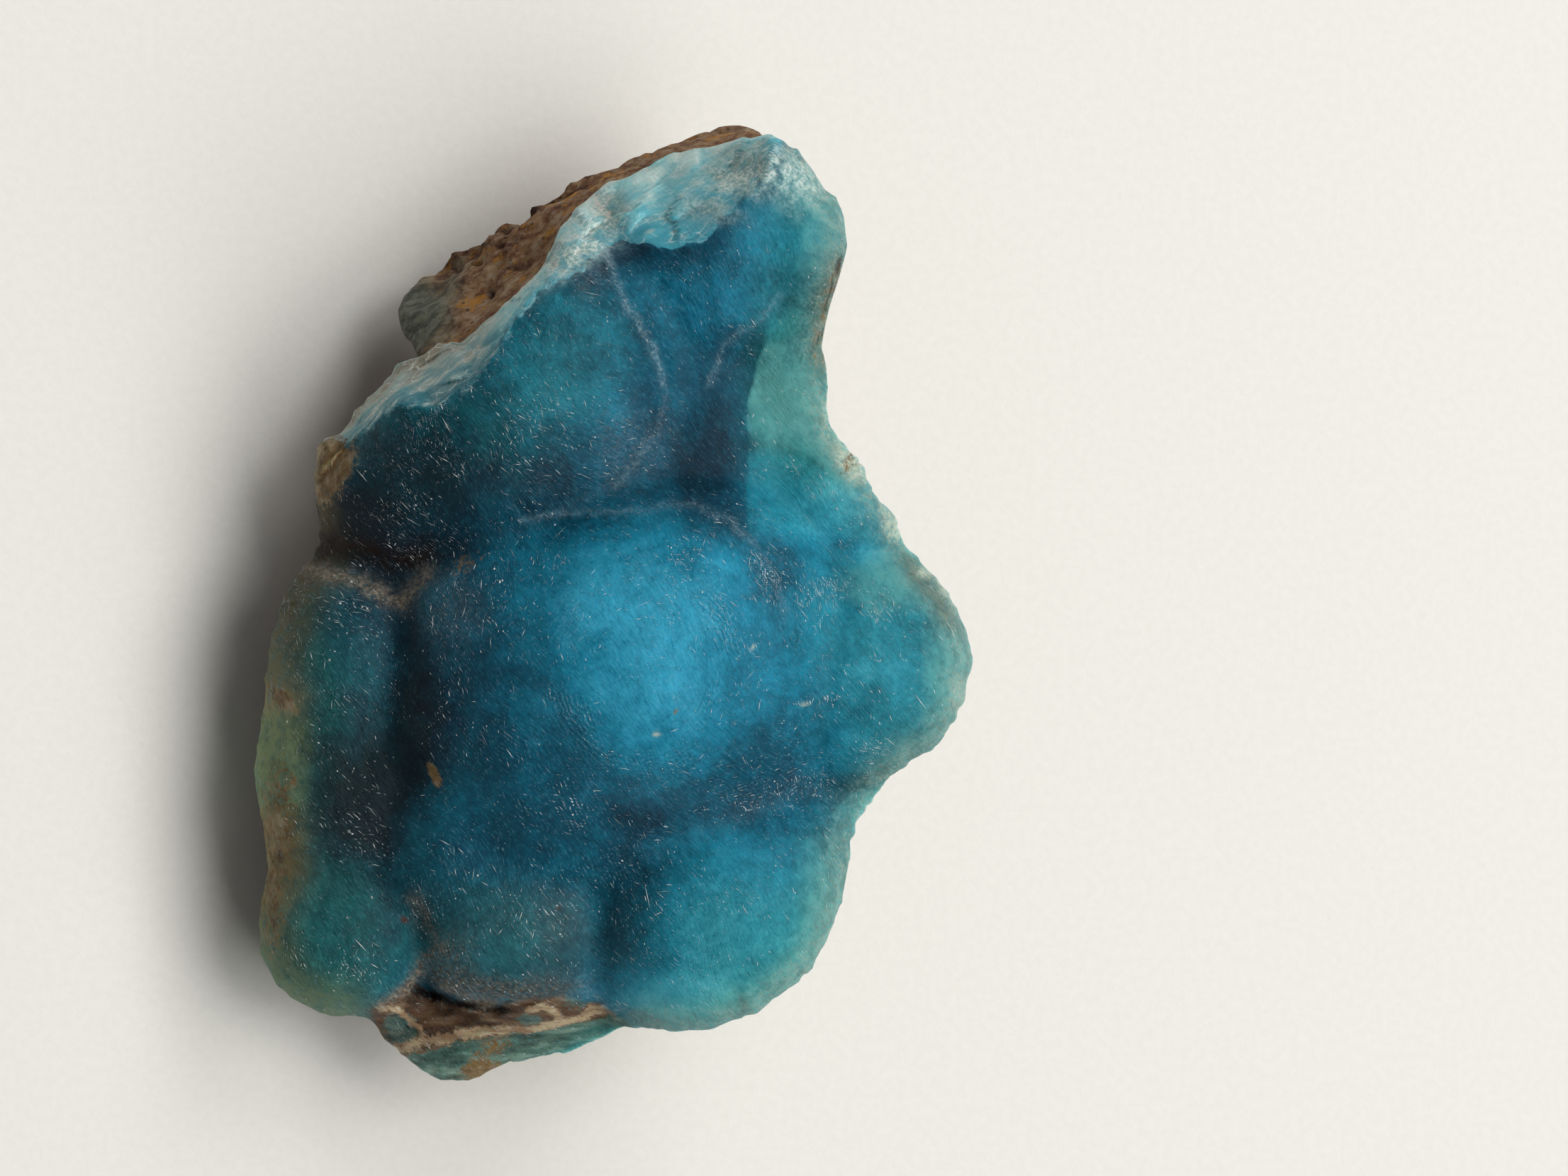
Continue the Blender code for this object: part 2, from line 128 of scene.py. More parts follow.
# Fine surface
FINE_STEPS = 5  # subdivisions of the sphere that a surface starts from
FINE_CUTS = 5  # of each of its edges after that
RIM_TILT = math.radians(118)  # the rim's place on it, past 90 so the front gets more
BALL_SPREAD, ROCK_SPREAD = 0.8, 0.7  # 1 lays its points out as seen from above
RIM_POINTS = 1080  # along an outline
RIM_EASED = (1.4, 7)  # degrees and steps over which its radius is averaged
INSIDE_EASED = (14, 15)  # and the same further in
RIM_NICKS = 0.2
FURROW_WIDTH, FURROW_DEPTH = 0.42, 0.012
SEAM_RISE = 0.06
LAYER_WIDTH, LAYER_DEPTH = 0.9, 0.45  # of the ledge
CRACK_DEPTH, VEIN_RISE = 0.7, 0.15
CHIPS, CHIP_SEED = 120, 4  # flat chips of the break
CHIP_AREA = ((-11, 13), (24, 22))  # along the break and out across it
CHIP_STRETCH = 1.7  # their length where their breadth is 1
CHIP_LEAN, CHIP_LIFT = 0.16, 0.05

# Tone, from 0 at its darkest to 1 and partly painted light and shade, and the tints over it
BASE_TONE = 0.42
WARP = 0.6  # how far the edges of the tones wander
SLOW_WARP, QUICK_WARP = 3.4, 1.1  # the size of their wide and narrow bends
PATCH_EDGE = 1.5  # 1 fades the patches out evenly, more gives them edges
STRONGEST = 1.2  # a mask's most where its middle is to stay whole
# How far the rim's tones reach in
LEFT_RIM, RIGHT_RIM, THIN_RIM, ASH_RIM, RIM_LINE = 2.3, 1.2, 2.2, 1.3, 0.9

# Lines: points (u, v), width and strength. Thin raised seams between domes:
SEAMS = [
    ([(-0.5, 20.4), (0.1, 19.4), (0.7, 17.5), (1.6, 16.3), (2.4, 14.9), (2.9, 13.6),
      (3.1, 12.6)], 0.19, 1),
    ([(3.1, 12.6), (3.2, 11.6), (2.8, 9.9), (1.6, 8.3), (0.3, 6.6)], 0.19, 0.45),
    ([(9.8, 17.8), (8.8, 16.5), (7.3, 15.5), (6.5, 14.9), (6.1, 13.6), (5.7, 12.6)], 0.19, 0.6),
    ([(-5.2, 4.8), (-2.6, 5.2), (0.3, 5.3), (2, 5.3), (3.2, 5.7), (4.7, 5.7), (5.7, 5.3),
      (6.9, 4.8), (8.2, 3.5)], 0.19, 0.65),
    ([(8.2, 3.5), (9.2, 2.1), (9.8, 0.9), (10.1, -0.8)], 0.19, 0.3),
    ([(-1.9, -22), (-0.6, -23.1), (0.8, -23.4)], 0.19, 0.7),
]
# Tan ridges of rock between domes:
RIDGES = [
    ([(-17.8, 2.1), (-16.3, 1.7), (-14.5, 1.2), (-12.9, 0.3), (-12.1, 0), (-11.5, 0.8),
      (-10.6, 1.7)], 0.5, 1),
    ([(-9.9, -19.9), (-10.8, -20.6), (-11.3, -21.5), (-12, -22.5), (-13.5, -23.5)], 0.34, 1),
    ([(-11.3, -17.2), (-10.9, -18), (-10.4, -19.2), (-9.8, -20)], 0.5, 0.7),
    ([(-9.7, -22.3), (-8.4, -22.9), (-7.1, -23.2)], 0.3, 0.9),
]
# Painted shade along the valleys between domes, over their darker navy:
VALLEY_NAVY_AND_SHADE = [
    ([(-13, 0.6), (-12, -0.8), (-11.2, -3.3), (-10.4, -6.6), (-10.8, -9.4)], 1.5, 0.24),
    ([(-16.6, 3.4), (-13.6, 3), (-11.4, 3.2), (-8.6, 3.6)], 1.2, 0.2),
    ([(1.2, -12.3), (5.7, -12.3), (9.8, -10.7), (13.9, -10.7)], 1, 0.12),
    ([(1.3, -12.6), (1.6, -14.6), (1.2, -16.6)], 1.6, 0.15),
    ([(-5.2, 4.3), (-2.6, 4.7), (0.3, 4.9)], 0.9, 0.05),
    ([(8.2, 9.7), (10.2, 9.1), (11.9, 8.3), (13.9, 7), (15.6, 6)], 0.4, 0.1),
    ([(-12.9, -14.5), (-12.6, -17), (-12.2, -20.2)], 1.1, 0.12),
    ([(9, 2.9), (12, 2.8), (15.2, 1.1), (16.8, -0.2)], 0.4, 0.1),
    ([(1.4, 15), (2.2, 12), (3.4, 9.4), (4.2, 7.2)], 1.1, 0.12),
    ([(-1.4, 18.6), (0.2, 20.4), (2, 20.1), (4, 19.8), (5.8, 20.6), (7.4, 22.4)], 0.8, 0.12),
]
# The ledge's veins:
VEINS = [
    ([(-12.5, -26.1), (-10.8, -25.6), (-8.7, -25.1), (-6.3, -24.9)], 0.34, 1),
    ([(-6.3, -24.9), (-4.7, -24.8), (-3.3, -24.5), (-1.7, -24.2), (-1.1, -23.8),
      (0.1, -23.8)], 0.24, 1),
    ([(-3.2, -24.5), (-3, -23.9), (-3.8, -23.4), (-4.7, -23.6)], 0.26, 1),
    ([(-1.7, -24.2), (-1.2, -23.4), (0, -23.4)], 0.2, 1),
    ([(-13.6, -23.5), (-12.4, -23.8), (-11.8, -24.4), (-11.1, -24.7), (-11, -25.5)], 0.16, 1),
]
BROWN = [(-17.2, 3.3), (-14.5, 3.1), (-12.4, 2.3), (-10.8, 2.6)]
CRACK = [(-11.6, -22.2), (-10.4, -22.8), (-9.1, -23.2), (-7.6, -23.4), (-6.4, -23.5)]
LEDGE_TOP = [
    (-13.6, -23.4), (-11.6, -22), (-9.2, -23), (-6.4, -23.1), (-3, -22.7), (-0.6, -23.2),
    (1.4, -24.6),
]

# Soft patches: strength, middle (u, v), half widths and, where it has one, turn in degrees
# Lighter tone, partly the crust's own and partly a painted glow and highlight on the crown and
# domes lit from the right
LIGHT_TONE_AND_GLOW = [
    (0.25, 2.6, -2.4, 6.7, 6.7, 20), (0.08, -0.8, -17.2, 0.9, 3.6),
    (0.15, 2.6, -4.6, 3.2, 4.6, -38), (0.12, 0.8, 2, 5.5, 3.2), (0.1, -2.6, 12.8, 4.2, 4.8, 35),
    (0.3, 6.6, -17.6, 5.2, 5.6, 25), (0.31, 14.2, -2.8, 4.6, 4.4), (0.21, 12, 6.4, 4.1, 3, -35),
    (0.14, 5.7, 17.4, 2.6, 2.2), (0.14, 8.6, 21.6, 3.4, 2), (0.22, 12.2, 21.4, 2.8, 3.4),
    (0.03, -15.4, -2.4, 2.6, 2.8), (0.05, -17, -18.6, 3, 3), (0.06, -5.4, -18.1, 3.4, 2.6),
    (0.12, -2.6, 0.8, 3.4, 3.6), (0.08, 6.1, 18.6, 4.4, 3), (0.3, 3.4, -22.6, 4.6, 1.7),
    (0.3, 15.4, 2.3, 1.8, 1.5, -45), (0.09, -7.2, -11.2, 3.4, 2.6), (0.12, -9.2, -20.2, 1.6, 1.6),
    (0.22, 13.4, -8.6, 3, 1.7, 10), (0.08, 7.4, 2.2, 1.6, 1.6), (0.08, -10, -10.4, 1.5, 1.5),
    (0.08, -10.4, -20.2, 1.2, 1.4), (0.08, 11, 3, 2.6, 1.2),
]
# Darker tone, partly the crust's own and partly painted shade where the domes face away from the
# light
DARK_TONE_AND_SHADE = [
    (0.26, -11, 6.8, 5, 3.6, 15), (0.3, -14.8, 4.7, 3.2, 1.4, 5), (0.13, -2.2, 7.6, 4, 2.6, 12),
    (0.14, -15.6, -9, 4, 13), (0.28, -13.6, -11, 3, 3.8), (0.05, -4.6, 5.8, 2.4, 3.2),
    (0.12, -3, -20, 1.6, 2.6), (0.07, 4.6, -14.6, 1.8, 1.4), (0.12, -14.8, 5.8, 1.8, 1.6),
    (0.1, -8.6, -6.4, 3.2, 5), (0.2, 6, 8.8, 1.9, 4.8), (0.06, 3.4, 18.9, 3.4, 2.6),
    (0.1, 10.9, -1.8, 1.3, 3.8, 8), (0.06, 8.4, -8.8, 2.4, 2), (0.06, -7, -12.6, 3.4, 3),
]
TEAL = [
    (1, -19.4, -8, 3.4, 17), (0.5, -15, -9, 5, 14), (0.55, -11, 8.6, 5.5, 4.6, 20),
    (0.9, 11.4, 12.6, 3.6, 6), (0.45, 12, 22, 4, 5), (0.45, 16, -2, 4.6, 8),
    (0.5, 9, -19.6, 7, 5.5), (0.5, -6, -19, 5, 3.6), (0.2, -5.4, 10, 5, 4, 20),
    (0.7, -16.2, -19.6, 5, 4.6), (0.4, -3, 15, 4.5, 4.5),
]
# Painted glow where the thin crust at the right is lit through from behind
PALE_GLOW = [
    (0.9, 9.9, 11.9, 2.2, 2.7), (0.5, 13.4, 8.2, 2, 1.2, -45), (0.2, 12, 15.8, 1, 2),
    (0.5, 12, 24, 2.2, 2.2), (0.4, 17.4, 1.4, 2.6, 1.4, -50), (0.4, 15.2, 1, 1.8, 1.6),
    (0.3, 12.2, 20.6, 1.6, 2.2), (0.45, 19.6, -4, 1.6, 3.4), (0.25, 12.4, -17.6, 1.5, 4.6, 15),
    (0.3, -19.4, -5, 1.4, 4.6),
]
CREAM = [
    (1.1, 14.1, 8.2, 1.5, 0.75, -52), (0.8, 16.7, 4.5, 1.6, 0.5, -48),
    (0.8, 19.1, 1.2, 1.6, 0.5, -55), (0.35, 20.3, -5.6, 0.5, 1.6, 15), (0.5, 12.9, 11, 0.5, 1.2),
    (1.4, 2.7, -7.6, 0.24, 0.12, -20), (1.2, 8.3, -2.3, 0.11, 0.16), (1.2, 11.3, -5.7, 0.26, 0.08),
    (0.9, 17.9, 1.3, 0.4, 0.3),
]
# The break's frosty white, lightened further as painted light on its faces in shade
FROST_AND_LIGHT = [
    (0.9, 9.6, 25.2, 2.2, 1.4, -30), (1.1, 6.9, 24.9, 2, 1.4, 10), (0.3, 11.6, 23.6, 1.2, 1.4, -40),
    (1.1, -2.4, 20.1, 3, 1, 40), (0.9, -0.2, 22.6, 1.5, 2), (0.7, 5.4, 22.8, 2.2, 0.8, -10),
]
OLIVE = [
    (0.03, -16.4, -8, 4.6, 13), (0.35, -18.4, -8.8, 1.1, 3.6), (0.06, -15, 4.8, 2.4, 3.4),
    (0.15, -5, -19.6, 5, 3), (0.25, 12.7, 20.4, 1.2, 2.4),
]
TAN = [
    (1.3, -16.3, 7.8, 1.2, 2, -10), (0.6, -19.3, -12.8, 1.2, 4), (0.5, -19.8, -17.8, 1, 3),
    (0.3, 14.2, 8.2, 0.5, 1.2, -30), (0.3, -8.4, 2.4, 1.6, 0.8, 20), (0.6, -7.6, -27.4, 1.3, 0.6),
]
SPOTS = [
    (1, -19, -5.6, 1, 0.36, -42), (1, -10.1, -9.9, 0.75, 0.28, -62),
    (0.7, 3.9, -6.1, 0.28, 0.12, 20),
]
RUST = [(1.2, -12, -18.4, 0.2, 0.18), (1, -10, -10.2, 0.3, 0.2, -60), (0.7, -3, -17.6, 0.12, 0.12)]
DUST = [
    (0.5, 1.2, 8.8, 2, 3), (1.3, -7.6, -22.2, 2.8, 0.7, -10), (0.14, 9.9, -10.8, 3.4, 1, 8),
    (0.1, -3.5, 7, 3, 1.4), (0.08, 3, -11, 4, 1), (0.5, -1, 18.8, 0.9, 1.8, -20),
    (0.5, -9.2, -0.1, 1.9, 2.2), (0.5, -3.4, -22.2, 2.4, 1, -8),
]
GRIME = [
    (0.85, -9.3, -20.6, 1.7, 1.7), (0.9, -7.4, -22, 2.8, 0.8, -8), (0.8, -3.8, -22.1, 2.8, 0.8, 5),
    (0.6, 1.4, -24.2, 1.8, 0.6),
]
LOZENGE = [
    (1.3, -12.3, -24.9, 0.9, 1.1, 20), (1, -4.7, -24.2, 0.8, 0.4), (0.8, -1.9, -23, 1, 0.6, -10),
]
# Painted shadow at the ledge's crack, under the overhanging domes
LEDGE_SHADOW_PATCHES = [(1, -11.2, -22.5, 0.8, 0.45, -30)]
LEDGE_OCHRE = [(1.2, -7.6, -27.3, 1.2, 0.7), (0.6, -7, -26, 1.2, 0.5, 15)]
# The grey-green chip at the rock's left end
CHIP_FACE = [(1.3, -11.2, 16.4, 1.3, 2.4, -8), (0.7, -9.2, 17.6, 0.8, 2.6, -12)]
# Where short white strokes, needles with painted glints, gather, and where ripples run round the
# crown's middle
STROKES = [
    (0.95, 9, 1.2, 0.8, 2, 32), (0.9, 12.4, 0.9, 1.6, 0.7), (0.5, 6.6, -0.7, 1.2, 2, 40),
    (0.8, 11.8, -5.6, 1.8, 0.35), (0.8, 15.6, -8.5, 1.1, 0.7), (0.6, 15.6, 0, 1.9, 1.2, -40),
    (1, -2, -12.1, 1.6, 0.9, -50), (0.42, -13.6, -13.2, 1.8, 2.1), (0.75, -4.2, -18.1, 2.6, 2.6),
    (0.45, 5, 2.6, 2.4, 1.4), (0.4, -4, 10.5, 2.6, 2), (0.7, -15, -20.8, 2.6, 0.9, 20),
    (0.5, -15.2, -0.6, 3, 1.6, -10), (0.8, -10.8, -18.2, 0.8, 1.8, 15),
    (0.6, 9.8, -10.9, 4, 1.4, 8), (0.8, -9.3, -20.7, 1, 1.1), (0.8, -7.4, -22, 1.9, 0.6, -8),
    (0.4, 2.4, -9.6, 3.6, 1, -20),
]
# The ripples are bumped, and painted with a highlight and shade in the material
RIPPLES = [
    (1, 6.3, -0.8, 1.5, 2.8, 35), (0.9, -1.7, -6.8, 1.4, 2.8, 35), (0.7, 3, -9, 3, 1),
    (0.6, -2.6, -0.6, 1.2, 2.6, -20), (0.7, 5.4, -6, 1, 2.6, -30), (0.35, 7.6, -19, 3.6, 3.6),
]
RIPPLES_U, RIPPLES_V = 1.9, -3.8

# Colours as eyes see them, from 0 to 255, and ramps of them
BLUES = [(0, 6, 29, 46), (0.2, 7, 52, 73), (0.42, 9, 88, 113), (0.7, 24, 139, 171),
         (1, 70, 190, 224)]
GREENS = [(0, 7, 33, 38), (0.2, 7, 57, 66), (0.42, 16, 97, 100), (0.7, 46, 150, 154),
          (1, 102, 200, 194)]
# The painted glow of the window, a thin stretch of crust lit through
WINDOW_GLOW = (100, 173, 170)
RIM_TINTS = [(0.03, 104, 124, 88), (0.16, 140, 122, 70), (0.34, 164, 140, 80),
             (0.42, 138, 156, 112), (0.66, 138, 152, 106), (0.74, 154, 128, 76),
             (0.8, 110, 102, 66), (0.97, 88, 78, 52)]
RIM_TINT_SPAN = (-24, 4)  # the ramp's ends, in v
ASH = (112, 128, 118), (142, 158, 146)
HAZE = (122, 122, 118), (120, 134, 146)
SOOT = (66, 64, 58), (118, 112, 100)
ICE_AND_LIGHT = (134, 170, 170), (212, 226, 220)
SEAM_BLUE, DARK_BROWN = (136, 162, 174), (34, 23, 19)
CREAM_CRUMBS, RUST_RED = (198, 208, 190), (92, 36, 18)
RIDGE_TANS = [(0.35, 92, 82, 70), (0.65, 164, 152, 134)]
STAINS = [(0.3, 68, 55, 43), (0.5, 126, 102, 66), (0.68, 164, 148, 120)]
# Painted glints and painted shade of the fibre strokes
STROKE_GLINT, STROKE_SHADE = (110, 176, 194), (4, 20, 34)
# Painted highlight and painted shade of the crown's ripples
RIPPLE_HIGHLIGHT, RIPPLE_SHADE = (150, 210, 228), (6, 60, 92)
# White of the needles, a painted glint on the sparks and the white of the crumbs
NEEDLE_WHITE_AND_GLINT = (228, 236, 236)
LEDGE_BROWNS = [(0.35, 62, 44, 32), (0.5, 98, 74, 54), (0.65, 128, 104, 80)]
LEDGE_TEALS = [(0.35, 58, 78, 70), (0.5, 84, 118, 108), (0.65, 128, 158, 144)]
LEDGE_CHANGE = (-23.75, -24.05)  # from brown to teal, in v at the layout's middle
LEDGE_SLANT = -0.2
LOZENGE_GREYS = (64, 92, 90), (104, 122, 112)
VEIN_TANS = (150, 122, 94), (190, 172, 140)
LEDGE_YELLOW, LEDGE_SHADOW = (128, 102, 64), (26, 18, 16)
BREAK_AQUAS = [(0, 72, 158, 178), (0.4, 98, 176, 190), (0.66, 140, 194, 200), (1, 178, 204, 202)]
BREAK_GREYS = [(0, 52, 118, 132), (0.35, 110, 152, 158), (0.66, 160, 174, 168), (1, 142, 134, 118)]
BREAK_CHANGE = (4.5, 1)  # from aqua to grey, along the break
FLAKES, FLAKE_EDGE_GLINT = (196, 208, 200), (214, 228, 226)
ROCK_BROWNS = [(0.3, 48, 26, 18), (0.42, 110, 72, 48), (0.53, 148, 114, 80), (0.62, 166, 144, 114),
               (0.74, 188, 178, 160)]
ROCK_OCHRE, ROCK_HOLES, ROCK_SPECKS = (182, 126, 44), (50, 22, 16), (146, 138, 140)
PIT_RED = (56, 20, 16)
# The chip's grey-green, darkened as painted shade at the rock's shaded left end
SAGE_AND_SHADE = (70, 76, 66), (116, 118, 102)
PAPER = (234, 233, 228), (237, 236, 231)
SKY, LAMP = (238, 240, 244), (255, 253, 249)

# Needles, in millimetres. A logarithm with a spread is for a lognormal draw.
NEEDLES, NEEDLE_SEED = 18000, 5
NEEDLE_TURN = math.radians(-52)  # the slant that they have in common
NEEDLE_STRAY = 0.45  # how far they turn from it, in radians
NEEDLE_LENGTH = (math.log(0.085), 0.55)  # half their length
NEEDLE_BREADTH, NEEDLE_RISE = (0.012, 0.021), (0.012, 0.025)
NEEDLE_SHINE = (math.log(0.06), 0.8)  # how white those are that catch no light
NEEDLE_FACES = np.array([(4, 2, 0), (4, 1, 2), (4, 3, 1), (4, 0, 3),
                         (5, 0, 2), (5, 2, 1), (5, 1, 3), (5, 3, 0)])
CLUMP_SIZE = 2.2  # of the patches where they are dense
CROWN_REACH = 8  # within this of the ripples' middle they lie round it
STRAND_STEP = 0.05  # for the slope of the strands' field
# Sparks are painted white, as glints
SPARKS, SPARKS_IN_DUST = 0.11, 0.16  # share that catches the light, and more in dust
SPARK_LENGTH, SPARK_BREADTH = 1.5, 1.35  # times as large as the others
CRUMBS = 0.07  # share that are crumbs instead
CRUMB_SIZE = (math.log(0.045), 0.4)

# Studio, in metres, and the camera, in millimetres
FLOOR_HALF, LIGHT_DISTANCE = 1.2, 1.2
SKY_STRENGTH = 0.13
# The lights: name, turn from +X towards +Y and elevation in degrees, width, and power in watts
LIGHTS = [("near_light", -48, 52, 0.9, 6.2), ("high_light", 20, 66, 0.7, 7.6),
          ("far_light", 60, 42, 0.5, 3.8)]
PHOTO_SCALE = 0.0412  # one pixel of the photograph
PHOTO_SIZE = (2212, 1659)
PHOTO_MIDDLE = (862, 851)  # the pixel where the layout's middle lies
CAMERA_DISTANCE, SENSOR = 500, 36


def unit(x):
    return np.clip(x, 0, 1)


def smooth_max(a, b, melt):
    share = unit(0.5 + 0.5 * (a - b) / melt)
    return b * (1 - share) + a * share + melt * share * (1 - share)


def ease(x, low, high):
    share = unit((x - low) / (high - low))
    return share * share * (3 - 2 * share)


def between(x, start, full, waning, end):
    """Rises smoothly from 0 to 1, and falls back to 0 further on."""
    return ease(x, start, full) * ease(-x, -end, -waning)


def quarter_round(distance, width):
    return np.sqrt(1 - (1 - unit(distance / width)) ** 2)


def columns(*parts):
    return np.stack(parts, axis=-1)


def polar(radius, angle):
    return radius * np.cos(angle), radius * np.sin(angle)


def rotated(a, b, angle):
    """Two coordinates, as read along axes that are turned by an angle."""
    c, s = math.cos(angle), math.sin(angle)
    return a * c + b * s, b * c - a * s


def lumps(u, v, size, seed, h=0):
    """Smooth noise from -1 to 1, with lumps of about this size. Each seed has its own."""
    points = columns(*np.broadcast_arrays(u, v, h)) / size + seed
    return np.array([noise.noise(Vector(point)) for point in points])


def closed_curve(points, steps=5):
    p = np.array(points)
    before, after, beyond = np.roll(p, 1, 0), np.roll(p, -1, 0), np.roll(p, -2, 0)
    runs = []
    for t in np.linspace(0, 1, steps, endpoint=False):
        runs.append(0.5 * (2 * p + (after - before) * t
                           + (2 * before - 5 * p + 4 * after - beyond) * t ** 2
                           + (3 * p - before - 3 * after + beyond) * t ** 3))
    return np.stack(runs, axis=1).reshape(-1, 2)


def radius_at(curve, angle):
    angles = np.arctan2(curve[:, 1], curve[:, 0])
    order = np.argsort(angles)
    return np.interp(angle, angles[order], np.hypot(*curve[order].T), period=2 * math.pi)


def mean_radius(curve, angle, degrees, steps):
    """The curve's radius, averaged over so many degrees to either side."""
    turns = np.radians(np.linspace(-degrees, degrees, steps))
    return np.mean([radius_at(curve, angle + turn) for turn in turns], axis=0)


def distance_to(line, u, v, closed=True):
    """The distance from each point to a line of points."""
    line = np.array(line)
    ends = np.roll(line, -1, 0) if closed else line[1:]
    starts = line if closed else line[:-1]
    best = np.full(len(u), np.inf)
    for (a, b), (c, d) in zip(starts, ends):
        size = max((c - a) ** 2 + (d - b) ** 2, 1e-12)
        t = unit(((u - a) * (c - a) + (v - b) * (d - b)) / size)
        best = np.minimum(best, np.hypot(u - a - t * (c - a), v - b - t * (d - b)))
    return best


def ellipse_reach(u, v, mid_u, mid_v, half_u, half_v, turn=0):
    """The square of the way from an ellipse's middle, which is 1 at its half widths."""
    a, b = rotated(u - mid_u, v - mid_v, math.radians(turn))
    return (a / half_u) ** 2 + (b / half_v) ** 2


def domes(u, v):
    height = np.full(np.shape(u), DOME_FLOOR)
    for top, drop, *ellipse in DOMES:
        reach = ellipse_reach(u, v, *ellipse)
        height = smooth_max(height, top - drop * (0.7 * reach + 0.3 * reach * reach), DOME_MELT)
    return height + FRONT_LUMPS * lumps(u, v, FRONT_LUMP_SIZE, 7)


def bed(u, v):
    """The height of the face between the crust and the rock."""
    fall = BED_FALL[0] * (u - BED_MIDDLE[0]) ** 2 + BED_FALL[1] * (v - BED_MIDDLE[1]) ** 2
    height = BED_TOP - fall
    for mid_u, mid_v, swell, width in BED_SWELLS:
        height = height + swell * np.exp(-((u - mid_u) ** 2 + (v - mid_v) ** 2) / width ** 2)
    return height


def along_break(u, v):
    """How far a point lies along the break, and how far out across it."""
    return rotated(u, v, BREAK_TURN)


def front(u, v):
    """The crust's front with its break: height, share across the break, and way past its edge."""
    height = domes(u, v)
    corners = np.array(BREAK_EDGE)
    rows = np.linspace(0, len(corners) - 1, BREAK_ROWS)
    edge_u, edge_v = (np.interp(rows, np.arange(len(corners)), side) for side in corners.T)
    edge_along, edge_out = along_break(edge_u, edge_v)
    along, out = along_break(u, v)
    rim_along, rim_out = along_break(*np.array(CRUST_OUTLINE[:BREAK_POINTS]).T)
    start = np.interp(along, edge_along, edge_out)
    end = np.maximum(np.interp(along, rim_along, rim_out), start + BREAK_LEAST)
    high = np.interp(along, edge_along, domes(edge_u, edge_v))
    deep = bed(*rotated(along, end, -BREAK_TURN)) + BREAK_LIP
    from_end = np.minimum(along - rim_along[0], rim_along[-1] - along)
    low = high + (deep - high) * ease(from_end, -0.5 * BREAK_FADE, BREAK_FADE)
    across = np.clip((out - start) / (end - start), -1, 1)
    steps = BREAK_STEPS * lumps(along, out * 2, BREAK_STEP_SIZE, 3) * ease(across, 0, 0.2)
    face = high + (low - high) * across + steps * ease(1 - across, 0, 0.2)
    height = np.where(across > 0, np.minimum(height, face), height)
    scallops = BREAK_SCALLOPS * (np.abs(lumps(along, 0, SCALLOP_SIZE, 53)) - 0.3)
    sharp = ease(along, *BREAK_SHARP[:2]) * (1 - ease(along, *BREAK_SHARP[2:]))
    past_edge = (out - start - scallops * sharp) / (1 - 0.8 * sharp)
    return smooth_max(height, bed(u, v) + BREAK_LIP, BREAK_MELT), across, past_edge


def place(u, v, h):
    """The layout leant and stood on the table, in metres."""
    x, z = rotated(u, h, -LEAN)
    return (columns(x, v, z) + STAND) * MM


def fine_ball():
    """A sphere of many small triangles, as a bmesh, and its points."""
    sphere = bmesh.new()
    bmesh.ops.create_icosphere(sphere, subdivisions=FINE_STEPS, radius=1)
    bmesh.ops.subdivide_edges(sphere, edges=sphere.edges[:], cuts=FINE_CUTS, use_grid_fill=True)
    points = np.array([vertex.co for vertex in sphere.verts])
    return sphere, points / np.linalg.norm(points, axis=1)[:, None]


def fine_outline(points, nicks=0):
    """The outline in many small steps, its steepest steps eased and its edge nicked."""
    angle = np.linspace(-math.pi, math.pi, RIM_POINTS, endpoint=False)
    radius = mean_radius(closed_curve(points), angle, *RIM_EASED)
    u, v = polar(radius, angle)
    ragged = 0.7 * lumps(u, v, 1.3, 41) - 0.3 + 1.6 * np.abs(lumps(u, v, 0.8, 43))
    return columns(*polar(radius + nicks * ragged, angle))


def spread(points, curve, rim_tilt, bulge, soften=False):
    """Lays the sphere's points over the outline: u, v, which lie on the front, and their share
    of the way out to the rim. Softened, the outline's steps fade inwards and leave no folds.
    """
    tilt = np.arccos(np.clip(points[:, 2], -1, 1))
    on_front = tilt <= rim_tilt
    share = np.where(on_front, tilt / rim_tilt, (math.pi - tilt) / (math.pi - rim_tilt))
    reach = np.sin(bulge * share * math.pi / 2) / math.sin(bulge * math.pi / 2)
    angle = np.arctan2(points[:, 1], points[:, 0])
    radius = radius_at(curve, angle)
    if soften:
        soft = mean_radius(curve, angle, *INSIDE_EASED)
        radius = soft + (radius - soft) * ease(reach, 0.45, 1)
    return *polar(reach * radius, angle), on_front, share


def chips(u, v):
    """Height of the flat chips in the break, each a tilted plane about its middle."""
    rng = np.random.default_rng(CHIP_SEED)
    run, out = along_break(u, v)
    best = np.full(len(u), np.inf)
    height = np.zeros(len(u))
    for _ in range(CHIPS):
        mid_run, mid_out = rng.uniform(*CHIP_AREA)
        lean_run, lean_out = rng.normal(0, CHIP_LEAN, 2)
        lift = rng.uniform(-CHIP_LIFT, CHIP_LIFT)
        far = ((run - mid_run) / CHIP_STRETCH) ** 2 + (out - mid_out) ** 2
        plane = lift + lean_run * (run - mid_run) + lean_out * (out - mid_out)
        height = np.where(far < best, plane, height)
        best = np.minimum(best, far)
    return height


def add_object(name, data):
    item = bpy.data.objects.new(name, data)
    bpy.context.scene.collection.objects.link(item)
    return item


def mesh_object(name, sphere, points, material):
    for vertex, point in zip(sphere.verts, points):
        vertex.co = point
    mesh = bpy.data.meshes.new(name)
    sphere.to_mesh(mesh)
    sphere.free()
    mesh.shade_smooth()
    mesh.materials.append(material)
    return add_object(name, mesh)


